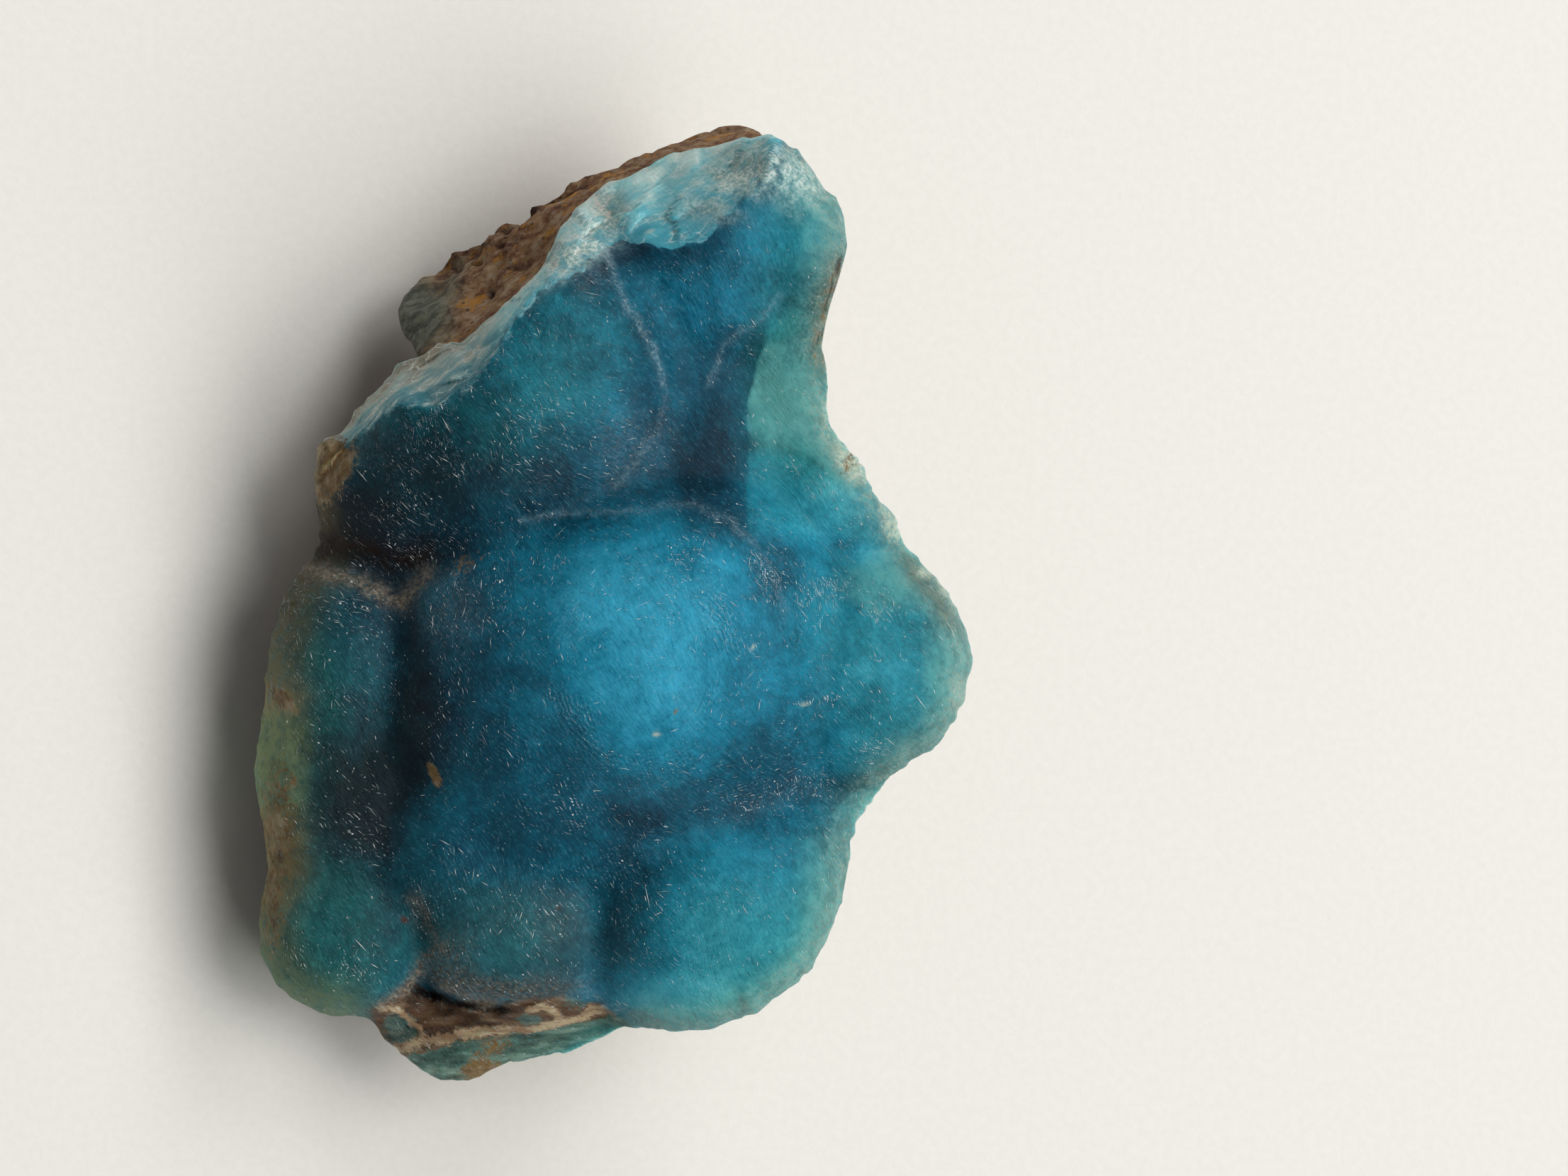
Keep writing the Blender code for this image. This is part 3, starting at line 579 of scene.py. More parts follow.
def add_layers(mesh, **layers):
    """Keeps numbers and vectors on the mesh's points, for the material to read."""
    for name, values in layers.items():
        values = np.float32(values)
        kind, key = ("FLOAT", "value") if values.ndim == 1 else ("FLOAT_VECTOR", "vector")
        mesh.attributes.new(name, kind, "POINT").data.foreach_set(key, values.ravel())


def strands(u, v):
    """A field whose level lines are the way that the crust's fine needles lie."""
    along, across = rotated(u, v, NEEDLE_TURN)
    return across + (1.6 * lumps(u, v, 9, 61) + 0.35 * lumps(u, v, 3, 67)), along


def patches(u, v, table):
    total = np.zeros(len(u))
    for strength, *ellipse in table:
        total = total + strength * np.exp(-ellipse_reach(u, v, *ellipse) ** PATCH_EDGE)
    return total


def line_mask(line, u, v, width):
    """1 along the line, and 0 from about twice the width away."""
    return np.exp(-(distance_to(line, u, v, closed=False) / width) ** 2)


def lines_mask(lines, u, v):
    """The strongest of some lines, each with its width and strength."""
    mask = np.zeros(len(u))
    for line, width, strength in lines:
        mask = np.maximum(mask, strength * line_mask(line, u, v, width))
    return mask


def near_rim(rim, width, edge=1):
    return np.exp(-((rim / width) ** 2) ** edge)


def tone_masks(u, v, rim, across, on_front):
    """Soft masks of the crust's tones, by name."""
    slow_u, slow_v = lumps(u, v, SLOW_WARP, 101), lumps(u, v, SLOW_WARP, 103)
    quick_u, quick_v = lumps(u, v, QUICK_WARP, 107), lumps(u, v, QUICK_WARP, 109)
    u_bent, v_bent = u + WARP * (slow_u + 0.4 * quick_u), v + WARP * (slow_v + 0.4 * quick_v)

    def bent(table):
        return patches(u_bent, v_bent, table)

    # Olive at the left, painted glow at the right and low rims, a line by the window, a crumbly
    # stretch
    left_width = LEFT_RIM - 1.1 * ease(v, 2.5, 4.5)
    left_rim = ease(-u, 12, 17) * near_rim(rim, left_width, PATCH_EDGE)
    right_rim = ease(u, 9, 12) * near_rim(rim, RIGHT_RIM) * (1 - 0.8 * ease(v, 12, 15))
    whole = 1 - ease(across, -0.6, 0)
    thin_rim = ease(u, -2, 3) * whole * near_rim(rim, THIN_RIM) * (1 - 0.7 * ease(v, -8, 2))
    low_rim_glow = thin_rim * (1 - 0.5 * ease(v, -20, -17))
    thin_line = ease(u, 11, 11.8) * between(v, 12.6, 14.6, 19, 21.5) * near_rim(rim, RIM_LINE)
    crumbly = ease(u, 16.2, 17.4) * between(v, -2.4, -0.6, 3.6, 5) * near_rim(rim - 0.7, 0.6)

    # The window's straight left edge, and the crown's rounder one, each edging a painted glow
    right_of = u - 7.9 - 0.26 * np.maximum(v - 11.5, 0) + 0.12 * quick_u
    right_of = ease(right_of, -0.15, 0.2)
    beyond = right_of * between(v_bent, 3.4, 4.6, 15, 18)
    window = 1 - (1 - right_of) * between(v, 7, 8, 17, 19)
    crown = 1 - np.hypot((u - 3.5) / 6.3, (v + 3) / 7.3) + 0.04 * quick_u + 0.03 * slow_v

    # Tone, partly painted: shade in the valleys, glow on the crown, the low rims and right of the
    # window
    tone = BASE_TONE + bent(LIGHT_TONE_AND_GLOW) - bent(DARK_TONE_AND_SHADE)
    for line, width, strength in VALLEY_NAVY_AND_SHADE:
        tone = tone - strength * line_mask(line, u_bent, v_bent, width)
    tone = tone + 0.22 * low_rim_glow + 0.13 * beyond + 0.07 * ease(crown, -0.04, 0.07)

    ledge_top = np.interp(u, *np.array(LEDGE_TOP).T) - v + 0.15 * quick_v
    seam_wander = 0.16 * lumps(u, v, 0.9, 71)
    ridge_wander = 0.25 * lumps(u, v, 0.8, 73)
    broken = ease(across, 0, 0.035) * on_front
    masks = {
        "teal": bent(TEAL) + 0.6 * thin_rim + 0.2 * beyond,
        # pale: painted glow of the thin crust at the window and the right and low rims
        "pale": window * bent(PALE_GLOW) + 0.2 * right_rim + 0.35 * low_rim_glow,
        "cream": bent(CREAM),
        "grime": bent(GRIME),
        "rippled": bent(RIPPLES),
        "rust": patches(u, v, RUST),
        "olive": left_rim + 0.85 * thin_line + 0.7 * crumbly + bent(OLIVE),
        "dust": bent(DUST),
        "across": across,
    }
    strong_masks = {
        "tan": bent(TAN) + 1.4 * patches(u, v, SPOTS) + 0.1 * right_rim + 0.25 * thin_line,
        "stroke": bent(STROKES),
        "lozenge": patches(u, v, LOZENGE),
        # Painted shadow in the ledge's crack
        "ledge_crack_shadow": patches(u, v, LEDGE_SHADOW_PATCHES) + line_mask(CRACK, u, v, 0.32),
        "ledge_ochre": patches(u, v, LEDGE_OCHRE),
    }
    return {
        **{name: unit(mask) for name, mask in masks.items()},
        **{name: np.clip(mask, 0, STRONGEST) for name, mask in strong_masks.items()},
        "tone": tone,
        "frost_and_light": bent(FROST_AND_LIGHT),
        "ridge": lines_mask(RIDGES, u + ridge_wander, v + ridge_wander),
        "seam": lines_mask(SEAMS, u + seam_wander, v + seam_wander) * (1 - broken),
        "ring": np.hypot(u - RIPPLES_U, v - RIPPLES_V) + 0.12 * quick_u,
        "brown": line_mask(BROWN, u_bent, v_bent, 0.95),
        "ash": ease(u, 0, 3) * whole * near_rim(rim, ASH_RIM),
        "vein": lines_mask(VEINS, u + 0.12 * quick_u, v + 0.2 * quick_v),
        "ledge": ease(ledge_top, -0.1, 0.25) * between(u, -14.4, -13.7, 0.6, 1.8),
        "broken": broken,
    }


def build_crust(material):
    sphere, points = fine_ball()
    curve = fine_outline(CRUST_OUTLINE, RIM_NICKS)
    u, v, on_front, share = spread(points, curve, RIM_TILT, BALL_SPREAD, soften=True)
    rim = np.where(share > 0.999, 0, distance_to(curve, u, v))
    top, across, past_edge = front(u, v)
    bottom = bed(u, v)
    masks = tone_masks(u, v, rim, across, on_front)
    masks["past_edge"] = np.where(on_front, np.clip(past_edge, -1.5, 1.5), -1.5)

    field, along = strands(u, v)
    furrow = np.sin(2 * math.pi * field / FURROW_WIDTH)
    furrow = furrow * (0.5 + 0.5 * lumps(field / 0.3, along / 2, 1, 5))
    fine = 0.07 * lumps(u, v, 1.2, 13) + 0.035 * lumps(u, v, 0.55, 17)
    fine = fine + FURROW_DEPTH * furrow + SEAM_RISE * masks["seam"]
    top = top + (1 - masks["broken"]) * fine
    strata = (v * 0.97 - u * 0.26 + 0.5 * lumps(u, v, 2.5, 83)) / LAYER_WIDTH
    top = top + LAYER_DEPTH * masks["ledge"] * np.abs(strata % 1 - 0.5)
    crack_u, crack_v = u + 0.3 * lumps(u, v, 0.8, 19), v + 0.3 * lumps(u, v, 0.8, 21)
    top = top - CRACK_DEPTH * line_mask(CRACK, crack_u, crack_v, 0.3) + VEIN_RISE * masks["vein"]
    top = top + masks["ridge"] * (0.06 + 0.14 * lumps(u, v, 0.35, 25))

    run, out = along_break(u, v)
    rough = 0.05 * lumps(run * 0.5, out * 3, 0.9, 93) + 0.04 * lumps(u, v, 0.4, 95)
    top = top + ease(across, 0, 0.12) * (chips(u, v) + rough)
    top = np.maximum(top, bottom + CRUST_LEAST)

    middle, half = 0.5 * (top + bottom), 0.5 * (top - bottom)
    width = CRUST_ROUND + (CRUST_ROUND_BROKEN - CRUST_ROUND) * ease(across, -0.1, 0.3)
    raised = middle + half * quarter_round(rim, width)
    lowered = middle - half * quarter_round(rim, CRUST_ROUND_BACK)
    under = ease(rim, 0.3, 1) * 0.1 * np.maximum(0, lumps(u, v, 0.9, 97))
    h = np.where(on_front, raised, lowered + under)
    crust = mesh_object("crust_surface", sphere, place(u, v, h), material)

    layers = {**masks, "layout": columns(u, v, h), "turned": columns(run, out, h)}
    add_layers(crust.data, strand=columns(field, along, h), **layers)
    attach(crust, "root")
    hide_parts("hemimorphite_crust")
    return crust, layers


def underside(u, v):
    """The rock's underside, level in the middle, and rising to the right and the top."""
    table, start = ((-STAND[2] - at * math.sin(LEAN)) / math.cos(LEAN) - ROCK_SINK
                    for at in (u, ROCK_RISE_START))
    right = start + ROCK_RISE * (u - ROCK_RISE_START)
    end = table + ROCK_END_RISE * (v - ROCK_END_START)
    return smooth_max(smooth_max(table, right, 1), end, 1)


def build_rock(material):
    sphere, points = fine_ball()
    curve = fine_outline(ROCK_OUTLINE)
    crust_curve = fine_outline(CRUST_OUTLINE)
    u, v, on_top, share = spread(points, curve, math.pi / 2, ROCK_SPREAD)
    inside = np.hypot(u, v) < radius_at(crust_curve, np.arctan2(v, u))
    past = np.where(inside, 0, distance_to(crust_curve, u, v))
    rim = np.where(share > 0.99994, 0, distance_to(curve, u, v))
    top = bed(u, v) - GAP - ROCK_FALL * past
    bottom = np.minimum(underside(u, v), top - ROCK_LEAST)
    edge = top - ROCK_RIM * (top - bottom)
    raised = edge + (top - edge) * quarter_round(rim, ROCK_ROUND)
    lowered = edge - (edge - bottom) * quarter_round(rim, ROCK_ROUND_BACK)
    h = np.where(on_top, raised, lowered)

    bare = np.maximum(ease(past, 0.1, 1.6), ease(-points[:, 2], 0, 0.3))
    coarse = 0.7 - np.abs(lumps(u, v, ROCK_LUMP_SIZE, 11, h)) * 2.2
    knobs = 0.3 - np.abs(lumps(u, v, ROCK_KNOB_SIZE, 23, h))
    run, out = along_break(u, v)
    crumbs = 0.24 * lumps(run * 0.6, out * 1.3, 1.2, 27, h * 1.3)
    crumbs = crumbs - 0.5 * np.abs(lumps(run * 0.8, out, 0.9, 29, h))
    crumbs = crumbs + 0.12 * lumps(u, v, 0.4, 31, h)
    pit = ease(lumps(run * 0.8, out, 0.8, 37, h), 0.28, 0.5)
    chip = unit(patches(u, v, CHIP_FACE))
    relief = ROCK_LUMPS * (coarse + 0.8 * knobs) + (1 - chip) * (crumbs - PIT_DEPTH * pit)
    for vertex, point in zip(sphere.verts, columns(u, v, h)):
        vertex.co = point
    sphere.normal_update()
    normals = np.array([vertex.normal for vertex in sphere.verts])
    u, v, h = np.stack([u, v, h]) + normals.T * bare * relief
    world = place(u, v, h)
    world[:, 2] = np.maximum(world[:, 2], 0)
    rock = mesh_object("rock_surface", sphere, world, material)
    add_layers(rock.data, pit=pit * bare * (1 - chip), sage=chip, layout=columns(u, v, h),
               turned=columns(*along_break(u, v), h))
    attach(rock, "root")
    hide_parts("limonite_matrix")


def srgb(colour):
    """A colour as eyes see it, turned into the renderer's linear numbers."""
    values = [c / 255 for c in colour]
    return tuple(c / 12.92 if c <= 0.04045 else ((c + 0.055) / 1.055) ** 2.4 for c in values)


class Nodes:
    """Short calls for one material's nodes.

    An input takes another node's output, a number, a colour as eyes see it, or the name of a
    number kept on the mesh. A call gives back the node's output.
    """

    def __init__(self, name):
        self.material = bpy.data.materials.new(name)
        self.material.use_nodes = True
        self.tree = self.material.node_tree
        self.shader = self.tree.nodes["Principled BSDF"]

    def put(self, node, inputs):
        for key, value in inputs.items():
            socket = node.inputs[key]
            if isinstance(value, str):
                value = self.node("Attribute", {}, "Fac", attribute_name=value)
            if isinstance(value, bpy.types.NodeSocket):
                self.tree.links.new(value, socket)
            elif socket.type == "RGBA":
                socket.default_value = (*srgb(value), 1)
            else:
                socket.default_value = value

    def node(self, kind, inputs, output=0, **settings):
        node = self.tree.nodes.new("ShaderNode" + kind)
        for name, value in settings.items():
            setattr(node, name, value)
        self.put(node, inputs)
        return node.outputs[output]

    def shade(self, inputs):
        self.put(self.shader, inputs)
        return self.material

    def vector(self, name):
        return self.node("Attribute", {}, "Vector", attribute_name=name)

    def math(self, operation, a, b=0, clamp=False):
        return self.node("Math", {0: a, 1: b}, operation=operation, use_clamp=clamp)

    def times(self, a, b):
        return self.math("MULTIPLY", a, b)

    def plus(self, a, b, clamp=False):
        return self.math("ADD", a, b, clamp)

    def parts(self, vector):
        return self.node("SeparateXYZ", {0: vector}).node.outputs

    def scaled(self, vector, *scale):
        return self.node("VectorMath", {0: vector, 1: scale}, operation="MULTIPLY")

    def noise(self, vector, scale, detail=4, roughness=0.55):
        inputs = {"Vector": vector, "Scale": scale, "Detail": detail, "Roughness": roughness}
        return self.node("TexNoise", inputs, "Fac")

    def cells(self, vector, scale, feature="F1"):
        return self.node("TexVoronoi", {0: vector, "Scale": scale}, "Distance", feature=feature)

    def span(self, value, low, high, to_low=0, to_high=1):
        """Eases the value from one span to another."""
        inputs = dict(enumerate((value, low, high, to_low, to_high)))
        return self.node("MapRange", inputs, interpolation_type="SMOOTHSTEP")

    def sway(self, texture, amount):
        """The texture as a number that swings so far to either side of 0."""
        return self.span(texture, 0.3, 0.7, -amount, amount)

    def mix(self, share, a, b):
        return self.node("Mix", {"Factor": share, "A": a, "B": b}, "Result", data_type="RGBA")

    def pair(self, texture, low, high, colours):
        """Two colours, mixed by a texture."""
        return self.mix(self.span(texture, low, high), *colours)

    def tint(self, colour, mask, texture_span, over):
        """Lays a tint over the colour where the mask is, roughened by a texture."""
        return self.mix(self.times(mask, self.span(*texture_span)), colour, over)

    def frayed_tint(self, colour, mask, vector, over):
        """The same, with the mask's soft edge frayed into small specks."""
        fray = self.sway(self.noise(vector, 2.4, 7, 0.75), 0.4)
        fray = self.times(fray, self.span(mask, 0.02, 0.2))
        return self.mix(self.span(self.plus(mask, fray), 0.2, 0.72), colour, over)

    def ramp(self, value, stops):
        colours = self.node("ValToRGB", {"Fac": value}, "Color")
        elements = colours.node.color_ramp.elements
        while len(elements) < len(stops):
            elements.new(0.5)
        for element, (position, *colour) in zip(elements, stops, strict=True):
            element.position = position
            element.color = (*srgb(colour), 1)
        return colours

    def bump(self, height, distance, strength, **under):
        inputs = {"Height": height, "Distance": distance, "Strength": strength, **under}
        return self.node("Bump", inputs)


def crust_colour(n):
    """The crust's colour: navy with painted shade in valleys, azure and aqua with painted glow on
    crown and rim.
    """
    layout, turned = n.vector("layout"), n.vector("turned")
    mottle = n.noise(layout, 1.2, 5, 0.6)
    specks = n.noise(layout, 4.2, 4, 0.7)
    dots = n.noise(layout, 4.4, 4, 0.8)
    tone = n.plus("tone", n.sway(n.noise(layout, 0.28), 0.07))
    tone = n.plus(tone, n.sway(mottle, 0.05))
    tone = n.plus(tone, n.sway(specks, 0.04), clamp=True)
    colour = n.mix("teal", n.ramp(tone, BLUES), n.ramp(tone, GREENS))
    # A painted glow of the thin crust, lit through at the window and rims
    pale = n.plus("pale", n.sway(mottle, 0.15), clamp=True)
    colour = n.mix(n.times(pale, n.span("pale", 0.05, 0.3)), colour, WINDOW_GLOW)
    rim_tint = n.ramp(n.span(n.parts(layout)[1], *RIM_TINT_SPAN), RIM_TINTS)
    colour = n.tint(colour, "olive", (mottle, 0.25, 0.6, 0.35, 0.9), rim_tint)
    colour = n.tint(colour, "ash", (specks, 0.35, 0.65, 0.15, 0.85), n.pair(mottle, 0.4, 0.6, ASH))
    colour = n.tint(colour, "dust", (dots, 0.47, 0.62, 0.12, 0.8), n.pair(mottle, 0.35, 0.6, HAZE))
    colour = n.tint(colour, "grime", (dots, 0.4, 0.58, 0.3, 0.95), n.pair(specks, 0.4, 0.62, SOOT))
    colour = n.tint(colour, "seam", (dots, 0.44, 0.62, 0.12, 0.8), SEAM_BLUE)
    colour = n.tint(colour, "brown", (mottle, 0.3, 0.6, 0.5, 1), DARK_BROWN)
    colour = n.tint(colour, "cream", (specks, 0.35, 0.6, 0.35, 1), CREAM_CRUMBS)
    colour = n.mix("ledge", colour, ledge_colour(n, layout))
    colour = n.mix("rust", colour, RUST_RED)
    colour = n.tint(colour, "ridge", (dots, 0.38, 0.6, 0.25, 1), n.ramp(specks, RIDGE_TANS))
    past = n.plus("past_edge", n.sway(n.noise(turned, 1.6, 5, 0.6), 0.4))
    colour = n.mix(n.span(past, -0.3, 0.4), colour, break_colour(n, turned))
    stain = n.ramp(n.noise(layout, 0.9, 6, 0.65), STAINS)
    colour = n.frayed_tint(colour, "tan", layout, stain)
    # Frosty white of the break, partly painted light on its shaded faces
    return n.tint(colour, "frost_and_light", (mottle, 0.36, 0.58, 0.2, 1), n.pair(specks, 0.38, 0.62, ICE_AND_LIGHT))


def ledge_colour(n, layout):
    """Brown above the tan vein and teal below it, with painted shadow along the crack."""
    grain = n.noise(n.scaled(layout, 0.5, 1.6, 1), 0.9, 6, 0.65)
    u, v, _ = n.parts(layout)
    below = n.plus(n.plus(v, n.times(u, LEDGE_SLANT)), n.span(grain, 0.35, 0.65, -0.3, 0.3))
    below = n.span(below, *LEDGE_CHANGE)
    colour = n.mix(below, n.ramp(grain, LEDGE_BROWNS), n.ramp(grain, LEDGE_TEALS))
    for name, over in (("lozenge", n.pair(grain, 0.4, 0.6, LOZENGE_GREYS)),
                       ("ledge_ochre", LEDGE_YELLOW), ("ledge_crack_shadow", LEDGE_SHADOW),
                       ("vein", n.pair(grain, 0.4, 0.6, VEIN_TANS))):
        colour = n.frayed_tint(colour, name, layout, over)
    return colour


def break_colour(n, turned):
    """Aqua at the drusy edge, in silky bands that turn cream and grey towards the rock."""
    silk = n.noise(n.scaled(turned, 0.5, 1.1, 1), 0.9, 6, 0.6)
    depth = n.plus("across", n.sway(silk, 0.3), clamp=True)
    left = n.span(n.parts(turned)[0], *BREAK_CHANGE)
    colour = n.mix(left, n.ramp(depth, BREAK_AQUAS), n.ramp(depth, BREAK_GREYS))
    flakes = n.cells(n.scaled(turned, 0.7, 1.4, 1), 0.8)
    colour = n.mix(n.span(flakes, 0.3, 0.1, 0, 0.45), colour, FLAKES)
    # Painted glints along the edges of the break's flakes
    edges = n.cells(n.scaled(turned, 0.8, 1.4, 1), 1.5, "DISTANCE_TO_EDGE")
    edges = n.times(n.span(edges, 0.07, 0), n.span(silk, 0.45, 0.6, 0, 0.7))
    return n.mix(edges, colour, FLAKE_EDGE_GLINT)


def crust_material():
    n = Nodes("hemimorphite_silk")
    strand, layout = n.vector("strand"), n.vector("layout")
    silk = n.noise(n.scaled(strand, 6.5, 1.3, 0.5), 1, 3, 0.6)
    strokes = n.noise(n.scaled(strand, 11, 2.6, 0.5), 1, 2, 0.6)
    grain = n.noise(layout, 7, 4, 0.7)
    bend = n.times(n.noise(layout, 1.3), 16)
    ripples = n.math("SINE", n.plus(n.times("ring", 22), bend))
    ripples = n.times(ripples, n.times("rippled", n.span(grain, 0.35, 0.6)))
    bare = n.math("SUBTRACT", 1, "broken")
    # Painted glints and painted shade along the fibre strokes, the glints dimmer where the tone is
    # dark
    light = n.times(n.span(strokes, 0.56, 0.7, 0, 0.22), bare)
    light = n.times(light, n.span("tone", 0, 0.45, 0.15, 1))
    shade = n.times(n.span(strokes, 0.44, 0.34, 0, 0.22), bare)
    colour = n.mix(shade, n.mix(light, crust_colour(n), STROKE_GLINT), STROKE_SHADE)
    # Painted highlight and shade on the crown's ripples
    colour = n.mix(n.span(ripples, 0.25, 0.9, 0, 0.4), colour, RIPPLE_HIGHLIGHT)
    colour = n.mix(n.span(ripples, -0.25, -0.9, 0, 0.35), colour, RIPPLE_SHADE)
    rough = n.bump(ripples, 0.03 * MM, 0.7, Normal=n.bump(grain, 0.06 * MM, 0.5))
    return n.shade({
        "Base Color": colour,
        "Roughness": n.span(silk, 0.3, 0.7, 0.45, 0.65),
        "Normal": n.bump(silk, 0.12 * MM, 0.7, Normal=rough),
        "IOR": 1.6,
        "Specular IOR Level": 0.12,
        "Subsurface Weight": 0.85,
        "Subsurface Radius": (0.4, 1, 1.1),
        "Subsurface Scale": 1.4 * MM,
    })


def needle_material():
    n = Nodes("hemimorphite_needles")
    colour = n.mix("lift", crust_colour(n), NEEDLE_WHITE_AND_GLINT)
    return n.shade({"Base Color": colour, "Roughness": 0.3, "IOR": 1.62})


def rock_material():
    n = Nodes("limonite_rock")
    turned = n.vector("turned")
    stretched = n.scaled(turned, 0.7, 1.2, 1.2)
    fibres = n.noise(stretched, 1.3, 8, 0.74)
    patch = n.noise(n.scaled(turned, 0.7, 1, 1), 0.9, 5, 0.65)
    specks = n.noise(stretched, 2.6, 4, 0.7)
    holes = n.cells(n.scaled(turned, 0.8, 1.2, 1.2), 1.8)
    colour = n.mix(n.span(patch, 0.54, 0.62, 0, 0.8), n.ramp(fibres, ROCK_BROWNS), ROCK_OCHRE)
    colour = n.mix(n.span(holes, 0.24, 0.12, 0, 0.75), colour, ROCK_HOLES)
    colour = n.mix(n.span(specks, 0.58, 0.7, 0, 0.6), colour, ROCK_SPECKS)
    colour = n.mix("sage", colour, n.pair(fibres, 0.4, 0.6, SAGE_AND_SHADE))
    grain = n.bump(n.noise(n.vector("layout"), 6, 5), 0.1 * MM, 0.6)
    return n.shade({
        "Base Color": n.mix("pit", colour, PIT_RED),
        "Roughness": n.span(fibres, 0.3, 0.7, 0.95, 0.7),
        "Normal": n.bump(fibres, 0.3 * MM, 0.8, Normal=grain),
    })


def needle_ways(u, v, rng):
    """The angle at which each needle lies: round the crown, or along the strands."""
    field, _ = strands(u, v)
    right, _ = strands(u + STRAND_STEP, v)
    above, _ = strands(u, v + STRAND_STEP)
    from_u, from_v = u - RIPPLES_U, v - RIPPLES_V
    round_crown = rng.random(NEEDLES) < np.exp(-(np.hypot(from_u, from_v) / CROWN_REACH) ** 4)
    lie = np.where(round_crown, np.arctan2(from_u, -from_v),
                   np.arctan2(field - right, above - field))
    return lie + rng.normal(0, NEEDLE_STRAY, NEEDLES)


def build_needles(crust, layers, material):
    """Fine needles that lie on the crust's front, as joined slim double pyramids."""
    co = np.array([vertex.co for vertex in crust.data.vertices])
    normal = np.array([vertex.normal for vertex in crust.data.vertices])
    values = {name: np.float32(layer) for name, layer in layers.items()}
    u, v, h = values["layout"].astype(float).T

    rng = np.random.default_rng(NEEDLE_SEED)
    facing = normal @ np.array([-math.sin(LEAN), 0, math.cos(LEAN)])
    weight = np.where(facing > 0.15, 1, 0) * (1 - 0.8 * values["broken"])
    weight *= 1 - 0.75 * unit(values["pale"])
    clump = lumps(u, v, CLUMP_SIZE, 0, h)
    weight *= np.clip(0.5 + 1.3 * clump, 0.04, 1.5) + values["dust"] + 3 * values["stroke"] ** 2
    chosen = rng.choice(len(co), NEEDLES, replace=False, p=weight / weight.sum())

    u, v = u[chosen], v[chosen]
    values = {name: layer[chosen] for name, layer in values.items()}
    lie = needle_ways(u, v, rng)
    lie_u, lie_v = polar(1, lie)
    along = columns(lie_u * math.cos(LEAN), lie_v, lie_u * math.sin(LEAN))
    up = normal[chosen]
    along -= up * (along * up).sum(1)[:, None]
    along /= np.linalg.norm(along, axis=1)[:, None]
    side = np.cross(up, along)
    dusty = np.clip(values["dust"] + 2.5 * values["stroke"], 0, 2.5)
    kind = rng.random(NEEDLES)
    glints = np.clip(1 + 2 * lumps(u, v, 1.5, 57), 0.2, 2.2)
    spark = kind < SPARKS * glints + SPARKS_IN_DUST * dusty
    crumb = kind > 1 - CRUMBS * (0.5 + dusty)
    length = rng.lognormal(*NEEDLE_LENGTH, NEEDLES) * np.where(spark, SPARK_LENGTH, 1)
    breadth = rng.uniform(*NEEDLE_BREADTH, NEEDLES) * np.where(spark, SPARK_BREADTH, 1)
    rise = rng.uniform(*NEEDLE_RISE, NEEDLES)
    size = rng.lognormal(*CRUMB_SIZE, NEEDLES)
    crumbs = size, size * rng.uniform(0.5, 0.9, NEEDLES), size * 0.6
    length, breadth, rise = np.where(crumb, crumbs, (length, breadth, rise))[..., None] * MM
    tilt = rng.uniform(-0.02, 0.1, NEEDLES)[:, None] * length
    base = co[chosen]
    corners = [base - along * length, base + along * length + up * tilt, base + side * breadth,
               base - side * breadth, base + up * rise, base - up * rise]
    points = np.stack(corners, axis=1).reshape(-1, 3)
    faces = (np.arange(NEEDLES)[:, None, None] * len(corners) + NEEDLE_FACES).reshape(-1, 3)
    needles = bpy.data.meshes.new("needles")
    needles.from_pydata(points.tolist(), [], faces.tolist())
    needles.materials.append(material)
    item = add_object("needles", needles)
    # Sparks painted white as glints, crumbs white, the rest whiter where the tone, partly painted
    # light, is lighter
    bright = np.clip(rng.lognormal(*NEEDLE_SHINE, NEEDLES), 0.01, 0.6)
    bright = bright * unit(0.3 + 1.2 * values["tone"])
    values["lift"] = np.where(spark | crumb, 0.2 + 0.7 * rng.random(NEEDLES) ** 2, bright)
    add_layers(needles, **{name: np.repeat(layer, len(corners), axis=0)
                           for name, layer in values.items()})
    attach(item, "root")


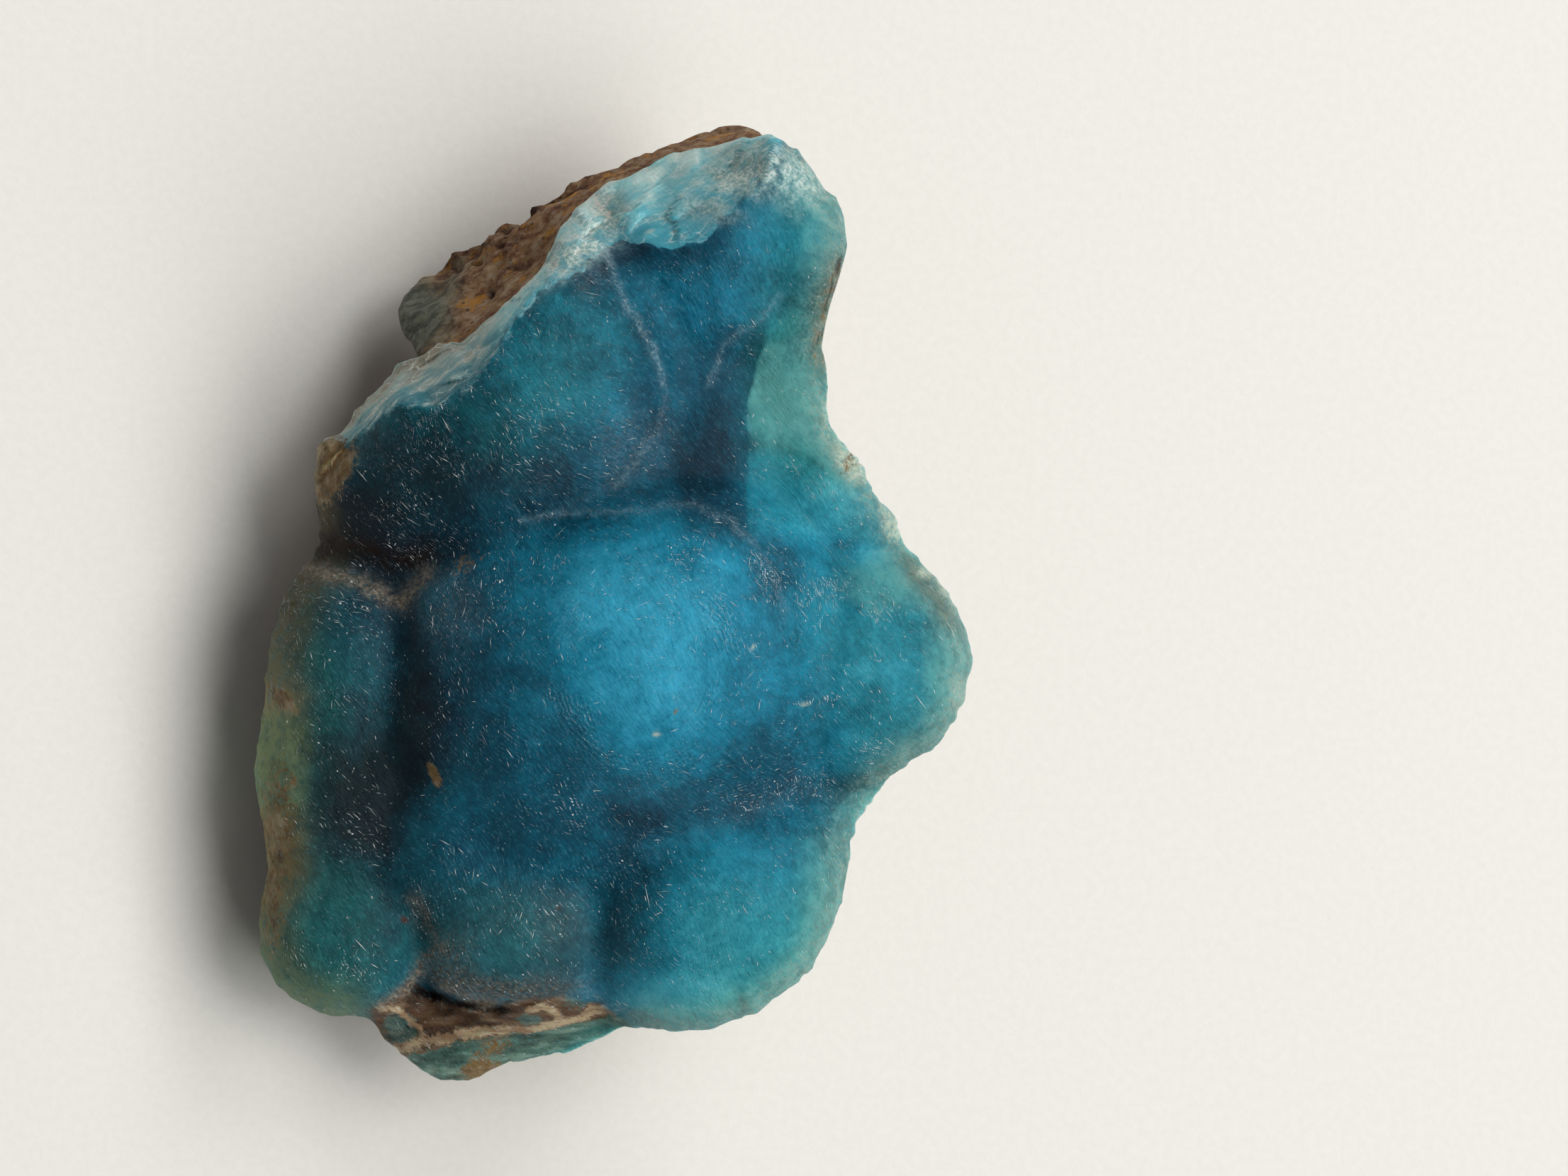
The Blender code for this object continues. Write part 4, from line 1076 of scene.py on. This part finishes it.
def build_stage():
    """A pale sheet, broad soft lights from the right and a dim even sky."""
    sheet = bmesh.new()
    bmesh.ops.create_grid(sheet, x_segments=1, y_segments=1, size=FLOOR_HALF)
    mesh = bpy.data.meshes.new("floor")
    sheet.to_mesh(mesh)
    sheet.free()
    n = Nodes("pale_paper")
    grain = n.noise(n.node("TexCoord", {}, "Object"), 1800, 3)
    n.shade({"Base Color": n.pair(grain, 0.3, 0.7, PAPER), "Roughness": 0.85,
             "Normal": n.bump(grain, 0.05 * MM, 0.4)})
    mesh.materials.append(n.material)
    floor = add_object("floor", mesh)

    world = bpy.data.worlds.new("studio")
    world.use_nodes = True
    background = world.node_tree.nodes["Background"]
    background.inputs["Color"].default_value = (*srgb(SKY), 1)
    background.inputs["Strength"].default_value = SKY_STRENGTH
    bpy.context.scene.world = world
    for light in LIGHTS:
        add_light(*light)
    bpy.context.scene.view_settings.view_transform = "Standard"


def add_light(name, turn, elevation, width, power):
    turn, elevation = math.radians(turn), math.radians(elevation)
    flat = math.cos(elevation)
    towards = Vector((flat * math.cos(turn), flat * math.sin(turn), math.sin(elevation)))
    data = bpy.data.lights.new(name, "AREA")
    data.shape = "SQUARE"
    data.size = width
    data.energy = power
    data.color = srgb(LAMP)
    light = add_object(name, data)
    light.location = towards * LIGHT_DISTANCE
    light.rotation_euler = towards.to_track_quat("Z", "Y").to_euler()


def build_camera():
    """A long lens that looks straight at the layout, framed as the photograph."""
    data = bpy.data.cameras.new("camera")
    data.sensor_width = SENSOR
    data.lens = SENSOR * CAMERA_DISTANCE / (PHOTO_SIZE[0] * PHOTO_SCALE)
    data.clip_start = 0.01
    camera = add_object("camera", data)
    u = (PHOTO_SIZE[0] / 2 - PHOTO_MIDDLE[0]) * PHOTO_SCALE
    v = (PHOTO_MIDDLE[1] - PHOTO_SIZE[1] / 2) * PHOTO_SCALE
    camera.location = place(u, v, CAMERA_DISTANCE)
    camera.rotation_euler = (0, -LEAN, 0)
    bpy.context.scene.camera = camera


build_stage()
build_camera()
crust, crust_layers = build_crust(crust_material())
build_rock(rock_material())
build_needles(crust, crust_layers, needle_material())
